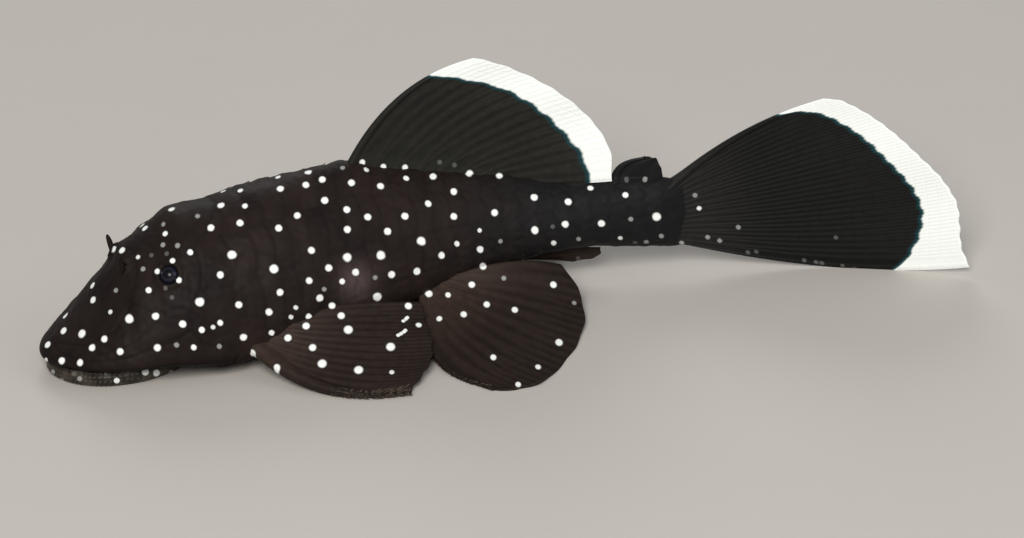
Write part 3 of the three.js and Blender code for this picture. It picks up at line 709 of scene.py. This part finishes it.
def make_skin():
    """The whole skin in one mesh: the bare body, raised along its normals by the plates, by the head's forms
    and by soft bumps. Shade under the edge of the cheek is painted into its colour as a darker band. It
    gives back how far each grid point is from a dot."""
    along, turn = skin_grid()
    half = np.minimum(turn, 360 - turn)
    bare = body(along, turn)
    normals = grid_normals(bare)
    plates, edges, number = plate_relief(along, half)
    forms, hollow_shade = head_relief(bare, along, half)
    dome = 0.05 * ripple(bare, 2.6, seed=3) + 0.02 * ripple(bare, 0.9, seed=4)
    calm = smooth(along, SNOUT_TIP, SNOUT_TIP + 2.5)
    points = bare + normals * (plates + forms * calm + dome * calm)[..., None]

    shades = np.random.default_rng(5).uniform(0, 0.5, 4096)
    tint = shades[(number.astype(int) + 40 * (turn > 180)) % len(shades)]
    # Painted sheen: a paler patch on the flank behind each pectoral fin, mirrored to both sides
    on_left = np.stack([bare[..., 0], -np.abs(bare[..., 1]), bare[..., 2]], -1)
    from_patch = np.linalg.norm(on_left - seat(PAINTED_SHEEN, 1)[0], axis=-1)
    # Painted shade: a darker band under the edge of the cheek, on the head only
    cheek = smooth(half, 86, 102) * (1 - smooth(half, 128, 142)) * (1 - smooth(along, 17, 23)) * PAINTED_CHEEK_SHADE
    # Painted shade from the head's hollows and under the cheek, with the plate creases darkened too
    layers = {"crease_and_shade": np.clip(np.maximum(np.maximum(edges * 0.2, hollow_shade), cheek), 0, 1),
              "tint": tint * (along > PLATES_FROM), "cool": smooth(along, 38, 62),
              "painted_sheen": bell(from_patch, PAINTED_SHEEN["reach"]), **skin_dots(points, normals, along)}
    dot = np.reshape(layers["dot"], along.shape)
    layers = {name: with_ends(layers[name], plain, plain) for name, plain in SKIN_LAYERS.items()}
    snout = [SNOUT_TIP + FIRST_SECTION, 0, points[0, :, 2].mean()]
    add_object("skin", with_ends(points, snout, points[-1].mean(axis=0)), capped_faces(*along.shape), SKIN,
               layers, ("head", "trunk", "tail_stem"))
    return dot


# Fins

SEAM_WAVE = 0.12  # how far the seam's inner edge waves, once for each ray
FIRST_RAY = 0.3  # how far in the first ray lies, in ray spacings
SPINE_TAPER, RAY_TAPER, WEB_TAPER = 0.5, 0.45, 0.35  # shares of the thickness lost from root to margin
FRONT_HEM, REAR_HEM = 0.2, 0.25  # millimetres over which a fin's front and rear edges thin out
ROOT_SWELL = 0.16  # share of the way out over which the fleshy root thins out
WEB_WAVE, WEB_WAVES = 0.12, 2.3  # how far a fin's margin waves, and how often

# Each fin's spine, ray, web and root swell where thickest, in millimetres, how deep it is cut between rays
# and sunk in the body, as shares of its length, the push of its arch at its front and rear, its root and
# margin as [share, along, side, up] points, the start of its white seam as [share, out] points, and its grid
FINS = {
    "dorsal_fin": dict(
        rays=8, spine=0.85, ray=0.38, web=0.3, swell=0.8, notch=0.006, sink=0.1, firm_last=False,
        arch=[[-1.2, 0, 2.1], [0, 0, -0.4]],
        root=[[0, 34.5, 0, 16.2], [0.5, 43.5, 0, 14.7], [1, 51.5, 0, 12.6]],
        margin=[[0, 49.7, 0, 27.1], [0.08, 51.6, 0, 26.4], [0.25, 55, 0, 24.5], [0.42, 58.1, 0, 22.4],
                [0.6, 60.9, -0.1, 19.7], [0.8, 63.1, -0.4, 16.5], [0.91, 63.8, -0.7, 14.3],
                [1, 63.7, -1.15, 11.6]],
        white=[[0, 0.74], [0.35, 0.82], [0.8, 0.79], [1, 0.8]], columns=300, rows=140),
    "adipose_fin": dict(
        rays=2, spine=1.0, ray=0.5, web=0.4, swell=1.0, notch=0.03, sink=0.3, firm_last=True,
        arch=[[-0.75, 0, 0.55], [0, 0, 0]],
        root=[[0, 63.6, 0, 11.3], [1, 69.3, 0, 10.5]],
        margin=[[0, 67.3, 0, 13.6], [0.5, 68.4, 0, 13.5], [1, 69.1, 0, 12.3]],
        white=None, columns=60, rows=40),
    "caudal_fin": dict(
        rays=16, spine=1.0, ray=0.37, web=0.28, swell=1.1, notch=0.004, sink=0.06, firm_last=True,
        arch=[[-0.3, 0, 0.9], [0.6, 0, -2.1]],
        root=[[0, 70, 0, 10.7], [1, 70, 0, 3.4]],
        margin=[[0, 86.6, 0, 19.9], [0.06, 88.1, 0, 19.8], [0.14, 89.9, 0, 19], [0.29, 93.3, 0, 16.7],
                [0.46, 96.6, 0, 13.8], [0.62, 99.5, 0, 10.6], [0.75, 100.9, 0, 7.6], [0.9, 101.2, 0, 3.6],
                [1, 102.1, 0, 1]],
        white=[[0, 0.72], [0.05, 0.8], [0.16, 0.86], [0.36, 0.88], [0.6, 0.88], [0.8, 0.86], [0.93, 0.8],
               [1, 0.72]], columns=420, rows=110),
    "anal_fin": dict(
        rays=5, spine=0.8, ray=0.38, web=0.28, swell=0.5, notch=0.01, sink=0.15, firm_last=False,
        arch=[[0, 0, 0.1], [0, 0, 0]],
        root=[[0, 49, 0, 3.3], [1, 54.5, 0, 4.2]],
        margin=[[0, 57.5, 0, 2.7], [0.35, 59.3, 0, 2.05], [0.65, 61, 0, 2.2], [0.88, 62.2, 0, 2.75],
                [1, 62.2, 0, 3.4]],
        white=None, columns=120, rows=80),
    "pectoral_fin_left": dict(
        rays=7, spine=1.6, ray=0.37, web=0.3, swell=0.9, notch=0.01, sink=0.12, firm_last=False,
        arch=[[-1.2, -2.5, -1.2], [0, -0.3, 0.7]],
        root=[[0, 20.7, -8.6, 2.7], [1, 23.5, -8.6, 5.8]],
        margin=[[0, 34.7, -20.9, 0.5], [0.14, 36, -19.9, 0.8], [0.3, 37.6, -18.2, 1.15],
                [0.45, 38.8, -16.3, 1.7], [0.6, 39.4, -14.3, 2.25], [0.75, 39.6, -12.3, 2.85],
                [0.88, 39.8, -10.5, 3.5], [1, 40, -9.1, 4.4]],
        white=None, columns=200, rows=120),
    "pelvic_fin_left": dict(
        rays=6, spine=0.95, ray=0.37, web=0.3, swell=0.7, notch=0.01, sink=0.12, firm_last=False,
        arch=[[-2.6, -0.8, -1.2], [0, -0.8, 1.2]],
        root=[[0, 40.4, -6.4, 3.4], [1, 44.5, -5.9, 5.2]],
        margin=[[0, 43.2, -23.2, 0.25], [0.12, 46.8, -24.2, 0.15], [0.25, 50, -23.8, 0.15],
                [0.4, 53.6, -20.7, 0.15], [0.55, 56.6, -16.6, 0.2], [0.68, 58.3, -12.8, 0.35],
                [0.8, 58.9, -9.6, 0.9], [0.9, 58.7, -7.2, 2.2], [1, 57.2, -4.8, 4.2]],
        white=None, columns=220, rows=110),
}


def mirrored(fin, spread):
    """The same fin on the fish's right, with its margin spread farther: out by the spread, and twice that
    forward."""
    def across(line, more=0):
        return [[share, along - more * 2, -side + more, up] for share, along, side, up in line]
    return dict(fin, root=across(fin["root"]), margin=across(fin["margin"], spread),
                arch=[[along, -side, up] for along, side, up in fin["arch"]])


FINS["pectoral_fin_right"] = mirrored(FINS["pectoral_fin_left"], 0.4)
FINS["pelvic_fin_right"] = mirrored(FINS["pelvic_fin_left"], 0.3)


def line_point(line, share):
    """The point at a share of a line of [share, along, side, up] points."""
    table = np.asarray(line, float)
    return np.stack([curve(table[:, [0, axis]], share) for axis in (1, 2, 3)], -1)


def fin_point(fin, share, out):
    """The fin's middle sheet: a straight way from root to margin for each share, pushed by 4 out (1 - out)
    times the arch, and cut back between rays at the margin."""
    root, margin = line_point(fin["root"], share), line_point(fin["margin"], share)
    first, last = np.array(fin["arch"], float)
    push = first * (1 - share)[..., None] + last * share[..., None]
    between = 0.5 - 0.5 * np.cos(2 * np.pi * (share * fin["rays"] - FIRST_RAY))
    reach = out * (1 - fin["notch"] * between * np.clip(out, 0, 1) ** 6)
    return root + (margin - root) * reach[..., None] + push * np.maximum(4 * out * (1 - out), 0)[..., None]


def ray_ridges(fin, share, out, span):
    """1 on a ray's crest to 0 between rays: soft ridges, the square of a cosine across, about lines that
    part in two close to the root and again farther out. Also the leading spine's round ridge, which stays
    whole and forms the fin's front edge."""
    rays = fin["rays"]
    start = FIRST_RAY / rays
    gap = (1 - 2 * start) / (rays - 1)
    ridge = np.zeros_like(share + out)
    draw = np.random.default_rng(rays)
    for k in range(rays):
        whole = fin["firm_last"] and k == rays - 1
        fork = draw.uniform(0, 0.1)
        first = 0 if whole else smooth(out, fork - 0.1, fork + 0.3) * gap / 4
        second = 0 if whole else smooth(out, fork + 0.45, fork + 0.8) * gap / 8
        for a in (-1, 1)[k == 0:]:
            for b in (-1, 1):
                line = start + gap * k + a * first + b * second
                reach = gap * span * (0.24 - 0.1 * smooth(out, fork + 0.5, fork + 0.9))
                away = np.clip(np.abs(share - line) * span / reach, 0, 1)
                ridge = np.maximum(ridge, np.cos(away * math.pi / 2) ** 2)
    place = share * span / (fin["spine"] / 2 * (1 - SPINE_TAPER * np.clip(out, 0, 1))) - 1
    front = np.sqrt(np.maximum(1 - place**2, 0))
    behind = np.cos(np.clip(place / 2.2, 0, 1) * math.pi / 2) ** 2
    return ridge, np.where(place < 0, front, behind)


def fin_grid(fin):
    """The fin's middle sheet on a grid of out by share, its normals, its thickness and its layers."""
    out, share = np.meshgrid(np.linspace(-fin["sink"], 1, fin["rows"]), np.linspace(0, 1, fin["columns"]),
                             indexing="ij")
    past_root = np.clip(out, 0, 1)
    middle = fin_point(fin, share, out)
    span = np.linalg.norm(np.diff(middle, axis=1), axis=2).sum(axis=1)[:, None]
    length = np.linalg.norm(np.diff(middle, axis=0), axis=2).sum(axis=0)[None, :] / (1 + fin["sink"])
    ridge, spine = ray_ridges(fin, share, out, span)
    seam = (out - curve(fin["white"], share)) * length if fin["white"] else out * 0 - FAR
    relief = 1 - 0.92 * smooth(seam, -0.7, 0.4)
    hem = np.clip(np.minimum(share * span / FRONT_HEM, (1 - share) * span / REAR_HEM), 0, 1)
    thick = fin["web"] * (1 - WEB_TAPER * past_root) * hem
    thick = thick + (fin["ray"] * (1 - RAY_TAPER * past_root) - thick).clip(0) * ridge * relief * hem
    spine_thick = fin["spine"] * (1 - SPINE_TAPER * past_root) * spine * (0.4 + 0.6 * relief)
    thick = np.maximum(thick, spine_thick)
    thick = thick + fin["swell"] * np.clip(1 - out / ROOT_SWELL, 0, 1) ** 2 * np.clip(hem + 0.2, 0, 1)
    normals = grid_normals(middle, closed=False)
    web_wave = WEB_WAVE * past_root**2 * np.sin(2 * np.pi * WEB_WAVES * share + 1)
    middle = middle + normals * web_wave[..., None]
    wave = SEAM_WAVE * np.sin(2 * math.pi * share * fin["rays"])
    layers = {"ridge": np.maximum(ridge, 0.4 * spine), "cool": np.ones_like(ridge),
              "reach": np.maximum(out, 0) * length, "seam": seam + 0.08 * ridge - 0.04 + wave}
    return middle, normals, thick, layers


def flat_tube_faces(rows, columns):
    """Faces of two like grids laid back to back: loops of 2 x columns points, closed across at both ends."""
    around = 2 * columns
    near = np.arange(columns - 1)
    cap = np.stack([near, near + 1, around - 2 - near, around - 1 - near], -1)
    return [ring_faces(rows, around), cap[:, ::-1], cap + (rows - 1) * around]


def make_fin(name, dots, finish):
    """One fin: both faces stand off its middle sheet by half its thickness, along the sheet's normals."""
    middle, normals, thick, layers = fin_grid(FINS[name])
    offset = normals * (thick / 2)[..., None]
    points = np.concatenate([middle + offset, (middle - offset)[:, ::-1]], axis=1)
    seen_face = middle - np.sign(facing(middle, normals))[..., None] * offset
    layers.update(dot_layers(middle, *dots(middle, seen_face)))
    grids = {layer: np.reshape(values, thick.shape) for layer, values in layers.items()}
    layers = {layer: np.concatenate([grid, grid[:, ::-1]], axis=1) for layer, grid in grids.items()}
    add_object(name + "_web", points, flat_tube_faces(*thick.shape), finish, layers, (name,))


def seen_dots(middle, face):
    """Dots at pixels of the photograph, set on the fin's sheet behind the place where the camera sees its
    face."""
    return dots_at(face, np.ones(face.shape[:2]), NEAR_DOTS, reach=2.5, seats=middle)


def random_dots(spacing, seed):
    """Seeded dots over a fin's sheet, about a spacing apart, whatever the camera sees of its face."""
    def dots(middle, face):
        inner = middle[int(0.1 * len(middle)):].reshape(-1, 3)
        made = spread_dots(inner, np.full(len(inner), spacing), [np.zeros(3)], tries=900, seed=seed)
        draw = np.random.default_rng(seed)
        return made, list(DOT * draw.uniform(0.75, 1.1, len(made))), [1] * len(made)
    return dots


# Small teeth of the skin

def make_spikes(name, roots, tips, width, finish, slot):
    """Joined four-sided cones, each from a square whose corners are a width from its root to a point at its
    tip."""
    way = unit(tips - roots)
    aside = unit(np.cross(way, np.array([0.3, 0.2, 1.0])))
    level = np.cross(way, aside)
    corners = [roots + width[:, None] * (aside * math.cos(a) + level * math.sin(a)) for a in full_turn(4)]
    count = len(roots)
    base = np.arange(count)
    sides = [np.stack([base + count * k, base + count * ((k + 1) % 4), base + count * 4], -1)
             for k in range(4)]
    foot = np.stack([base + count * k for k in (3, 2, 1, 0)], -1)
    layers = {"tip": np.concatenate([np.zeros(4 * count), np.ones(count)])}
    add_object(name, np.concatenate([*corners, tips]), [*sides, foot], finish, layers)


def spine_teeth(name, count, start, longest, seed):
    """Teeth of a fin's leading spine: round its front, thicker set and longer towards its tip."""
    fin = FINS[name]
    draw = np.random.default_rng(seed)
    out = start + (1 - start) * draw.uniform(0, 1, count) ** 0.6
    share = np.zeros(count)
    here = fin_point(fin, share + 0.02, out)
    way = unit(fin_point(fin, share + 0.02, out + 0.02) - here)
    lead = unit(fin_point(fin, share, out) - fin_point(fin, share + 0.06, out))
    normal = unit(np.cross(lead, way))
    angle = draw.uniform(-1.7, 1.7, count)
    round_it = lead * np.cos(angle)[:, None] + normal * np.sin(angle)[:, None]
    radius = fin["spine"] / 2 * (1 - SPINE_TAPER * out)
    centre = fin_point(fin, share, out) - lead * radius[:, None]
    roots = centre + round_it * (radius * 0.85)[:, None]
    length = longest * (0.35 + 0.65 * out) * draw.uniform(0.6, 1, count)
    tips = roots + unit(way * 0.85 + round_it * 0.55) * length[:, None]
    width = 0.055 * (0.7 + 0.6 * out)
    return roots, tips, width


def plate_teeth(seed, dot):
    """Teeth along the rear edge of every plate, pointing back and a little out, and none in a white dot."""
    draw = np.random.default_rng(seed)
    columns = np.arange(int((TAIL_ROOT - PLATES_FROM) / PLATE_LENGTH))
    rows = np.arange(len(PLATE_ROWS) - 1)
    grids = np.meshgrid(columns, rows, np.linspace(0.12, 0.88, 9), (0, 1), indexing="ij")
    column, row, share, side = (grid.ravel() for grid in grids)
    share = share + draw.uniform(-0.03, 0.03, share.shape)
    half = PLATE_ROWS[row] + share * (PLATE_ROWS[row + 1] - PLATE_ROWS[row])
    along = PLATES_FROM + PLATE_LENGTH * (column + 0.93) + PLATE_BOW * (np.sin(np.pi * share) - 0.5)
    turn = np.where(side == 1, 360 - half, half)
    here = body(along, turn)
    back = unit(body(along + 0.2, turn) - here)
    out = unit(here - np.stack([here[:, 0], np.zeros(len(here)), curve(WIDEST, along)], -1))
    roots = here + out * (PLATE_RISE * 0.6 + PLATE_RIDGE * (np.sin(np.pi * share) - 1))[:, None]
    length = draw.uniform(0.12, 0.22, len(here))
    tips = roots + unit(back + out * 0.3) * length[:, None]
    places, turns = skin_grid()
    nearest_row = np.searchsorted(places[:, 0], along).clip(0, len(places) - 1)
    nearest_column = np.searchsorted(turns[0], turn).clip(0, AROUND - 1)
    clear = dot[nearest_row, nearest_column] > 1.6
    return roots[clear], tips[clear], np.full(clear.sum(), 0.035)


# Eyes, nostrils and mouth

SIDES = ("left", 1), ("right", -1)


def make_eye(name, side, replaced):
    """An eyeball: a sphere seated in the head, with a smaller, steeper cap over the iris for the cornea."""
    middle, *axes = seat(EYE, side)
    tilt, turn = np.meshgrid(np.linspace(0, math.pi, 66)[1:-1], full_turn(96), indexing="ij")
    radius = EYE["radius"] * (1 - 0.04 * smooth(tilt, 0.3, 1.0))
    local = np.stack([np.sin(tilt) * np.cos(turn), np.sin(tilt) * np.sin(turn), np.cos(tilt)], -1)
    local = with_ends(local * radius[..., None], [0, 0, EYE["radius"]], [0, 0, -EYE["radius"] * 0.96])
    points = middle - axes[2] * EYE["sunk"] + local.reshape(-1, 3) @ np.stack(axes)
    faces = [part[:, ::-1] for part in capped_faces(*tilt.shape)]  # this grid runs the other way round
    draw = np.random.default_rng(21)
    streaks = 0.5 + 0.5 * np.sin(turn * 23 + 2 * np.sin(turn * 7) + draw.uniform(0, 6))
    layers = {"from_axis": with_ends(np.clip(tilt / 1.25, 0, 1), 0, 1), "streak": with_ends(streaks, 0, 0)}
    add_object(name, points, faces, IRIS, layers, (replaced,))


def make_flap(name, side):
    """The flap between a nostril's two openings: a thick upright leaf that narrows to a soft point."""
    middle, back, across, out = seat(NOSTRIL, side)
    height, turn = np.meshgrid(np.linspace(0, 1, 32), full_turn(28), indexing="ij")
    wide = NOSTRIL["flap"] * 0.5 * np.sqrt(np.clip(1 - height**1.8, 0, 1)) * (0.7 + 0.5 * height)
    upright = out * math.cos(NOSTRIL["lean"]) + back * math.sin(NOSTRIL["lean"])
    thin = back * math.cos(NOSTRIL["lean"]) - out * math.sin(NOSTRIL["lean"])
    local = (thin * (wide * 0.8 * np.cos(turn) - 0.12 * height**2)[..., None]
             + across * (wide * np.sin(turn))[..., None]
             + upright * (NOSTRIL["flap"] * (2.35 * height - 0.35))[..., None])
    points = middle + local
    layers = {layer: with_ends(np.full(height.shape, plain), plain, plain)
              for layer, plain in SKIN_LAYERS.items()}
    add_object(name, with_ends(points, points[0].mean(axis=0), points[-1].mean(axis=0)),
               capped_faces(*height.shape), SKIN, layers)


# Section of the lips from the palate out, over the rim and back in underneath, as (share of the oval, up)
LIP_PROFILE = [(0, 2.1), (0.5, 2.1), (0.8, 2.0), (0.93, 1.65), (0.985, 1.1), (1.0, 0.7), (0.985, 0.3),
               (0.95, 0.05), (0.9, 0), (0.82, 0), (0.77, 0.1), (0.7, 0.36), (0.55, 0.65), (0.42, 0.88),
               (0.32, 1.1), (0.25, 1.3), (0.12, 1.45), (0, 1.5)]
LIP_WIDTH = 7  # millimetres for a share of 1, about
PIMPLE_SPACING = 0.45  # from ring to ring
PIMPLE_WIDTH = 0.5  # along a ring


def make_lips():
    """The sucker mouth: a lip profile carried round an oval, raised into rings of pimples."""
    profile = np.array(LIP_PROFILE)
    steps = np.linalg.norm(np.diff(profile * (LIP_WIDTH, 1), axis=0), axis=1)
    steps = np.concatenate([[0], np.cumsum(steps)])
    place = np.linspace(0, steps[-1], 112)
    up = curve(np.stack([steps, profile[:, 1]], -1), place)
    share, turn = np.meshgrid(np.interp(place, steps, profile[:, 0])[1:-1], full_turn(360), indexing="ij")
    height = up[1:-1, None] * (1 - MOUTH["thinned"] * smooth(-share * np.cos(turn), 0.12, 1))
    points = np.stack([MOUTH["along"] - MOUTH["length"] * share * np.cos(turn),
                       MOUTH["width"] * share * np.sin(turn), height], -1)
    normals = grid_normals(points)
    ring = place[1:-1, None] / PIMPLE_SPACING
    around = np.round(2 * math.pi * LIP_WIDTH * share / PIMPLE_WIDTH)
    in_turn = np.cos(around * turn + math.pi * (np.floor(ring + 0.25) % 2))
    bump = np.maximum(np.cos(2 * math.pi * ring), 0) * np.maximum(in_turn, 0) * smooth(share, 0.3, 0.5)
    soft = 0.1 * ripple(points, 3.0, seed=8) * smooth(share, 0.6, 0.9)
    lift = 0.09 * bump * (height > 0.02) + soft * smooth(height, 0.1, 0.6)
    points = points + normals * lift[..., None]
    layers = dot_layers(points, *dots_at(points, facing(points, normals) < 0, LIP_DOTS, reach=6))
    layers = {"dot": with_ends(layers["dot"], FAR, FAR), "tone": with_ends(layers["tone"], 0, 0),
              "pimple": with_ends(bump, 0, 0)}
    ends = [MOUTH["along"], 0, up[0]], [MOUTH["along"], 0, up[-1]]
    add_object("lips", with_ends(points, *ends), capped_faces(*share.shape), LIP, layers, ("mouth",))


def make_teeth():
    """Rasping teeth in four rows, two before the mouth opening and two behind, that hang from the jaws."""
    middle = MOUTH["along"] + 0.2
    place = np.linspace(-1, 1, 17)
    roots = np.concatenate([
        np.stack([middle + front * (0.75 + 0.25 * place**2), side * (1.3 + 0.95 * place),
                  np.full(len(place), 1.75)], -1)
        for front in (-1, 1) for side in (-1, 1)])
    tips = roots + np.array([0, 0, -0.75]) + np.sign(roots[:, :1] - middle) * np.array([-0.25, 0, 0])
    make_spikes("mouth_teeth", roots, tips, np.full(len(roots), 0.07), MOUTH_TOOTH, "lip")


# Stage, light and camera

def make_floor():
    """A plain pale floor, level at 0, with its edge out of sight."""
    mesh = bpy.data.meshes.new("floor")
    reach = 3.0
    corners = [(-reach, -reach, 0), (reach, -reach, 0), (reach, reach, 0), (-reach, reach, 0)]
    mesh.from_pydata(corners, [], [(0, 1, 2, 3)])
    material, tree, shader = new_material("matt_pale_board", Roughness=0.75, Specular_IOR_Level=0.2)
    here = node(tree, "ShaderNodeTexCoord").outputs["Object"]
    cloud = node(tree, "ShaderNodeTexNoise", {"Vector": here, "Scale": 0.03 * MM, "Detail": 3})
    tone = node(tree, "ShaderNodeMix",
                {0: cloud.outputs["Fac"], 6: linear("#bdb8b1"), 7: linear("#c1bcb6")}, **COLOURS)
    tree.links.new(tone.outputs[2], shader.inputs["Base Color"])
    mesh.materials.append(material)
    floor = bpy.data.objects.new("floor", mesh)
    bpy.context.scene.collection.objects.link(floor)


def add_holder(name, data, axes, place):
    """An object for a lamp or a camera at a place in metres, turned so that its own axes are those given."""
    holder = bpy.data.objects.new(name, data)
    matrix = np.eye(4)
    matrix[:3, :3] = np.transpose(axes)
    matrix[:3, 3] = place
    holder.matrix_world = Matrix(matrix.tolist())
    bpy.context.scene.collection.objects.link(holder)
    return holder


def add_light(name, place, size, watts, colour):
    """A round soft light at a place in metres, turned to the fish's middle."""
    lamp = bpy.data.lights.new(name, "AREA")
    lamp.shape, lamp.size, lamp.energy, lamp.color = "DISK", size, watts, colour
    back = unit(np.array(place) - np.array([0, 0, 0.01]))
    level = unit(np.cross([0, 0, 1], back))
    add_holder(name, lamp, (level, np.cross(back, level), back), place)


def make_camera():
    """The camera stands where camera_axes() says, with its own axes right, up and back."""
    camera = bpy.data.cameras.new("camera")
    camera.sensor_width, camera.lens = SENSOR, LENS
    camera.clip_start, camera.clip_end = 0.01, 10
    place = (EYE_POINT + SHIFT) / MM
    bpy.context.scene.camera = add_holder("camera", camera, (RIGHT, UP, -FORWARD), place)


def make_world():
    """An even pale room light."""
    world = bpy.data.worlds.new("room")
    world.use_nodes = True
    background = world.node_tree.nodes["Background"]
    background.inputs["Color"].default_value = linear("#e6e9ec")
    background.inputs["Strength"].default_value = 0.32
    bpy.context.scene.world = world


make_camera()
make_world()
make_floor()
add_light("key", (-0.25, -0.55, 0.5), 0.4, 5.2, (1.0, 0.97, 0.93))
add_light("fill", (0.5, -0.4, 0.35), 0.5, 0.9, (0.93, 0.96, 1.0))
add_light("rim", (0.1, 0.6, 0.4), 0.35, 1.4, (1.0, 1.0, 1.0))
bpy.context.scene.view_settings.view_transform = "Standard"

skin_dot = make_skin()
for name, dots, finish in (
        ("dorsal_fin", seen_dots, BACK_FIN),
        ("adipose_fin", seen_dots, SKIN),
        ("caudal_fin", seen_dots, TAIL_FIN),
        ("anal_fin", seen_dots, BROWN_FIN),
        ("pectoral_fin_left", seen_dots, BROWN_FIN),
        ("pectoral_fin_right", random_dots(2.6, seed=33), BROWN_FIN),
        ("pelvic_fin_left", seen_dots, BROWN_FIN),
        ("pelvic_fin_right", random_dots(3.7, seed=34), BROWN_FIN)):
    make_fin(name, dots, finish)
for side, sign in SIDES:
    make_eye(f"eyeball_{side}", sign, f"eye_{side}")
for side, sign in SIDES:
    make_flap(f"nostril_flap_{side}", sign)
make_lips()
make_teeth()
make_spikes("plate_teeth", *plate_teeth(41, skin_dot), SKIN_TOOTH, "skin")
for side, seed in (("left", 42), ("right", 43)):
    pectoral = spine_teeth(f"pectoral_fin_{side}", 340, 0.5, 0.95, seed)
    make_spikes(f"pectoral_spine_teeth_{side}", *pectoral, SPINE_TOOTH, "fin")
    pelvic = spine_teeth(f"pelvic_fin_{side}", 200, 0.15, 0.4, seed + 2)
    make_spikes(f"pelvic_spine_teeth_{side}", *pelvic, SPINE_TOOTH, "fin")
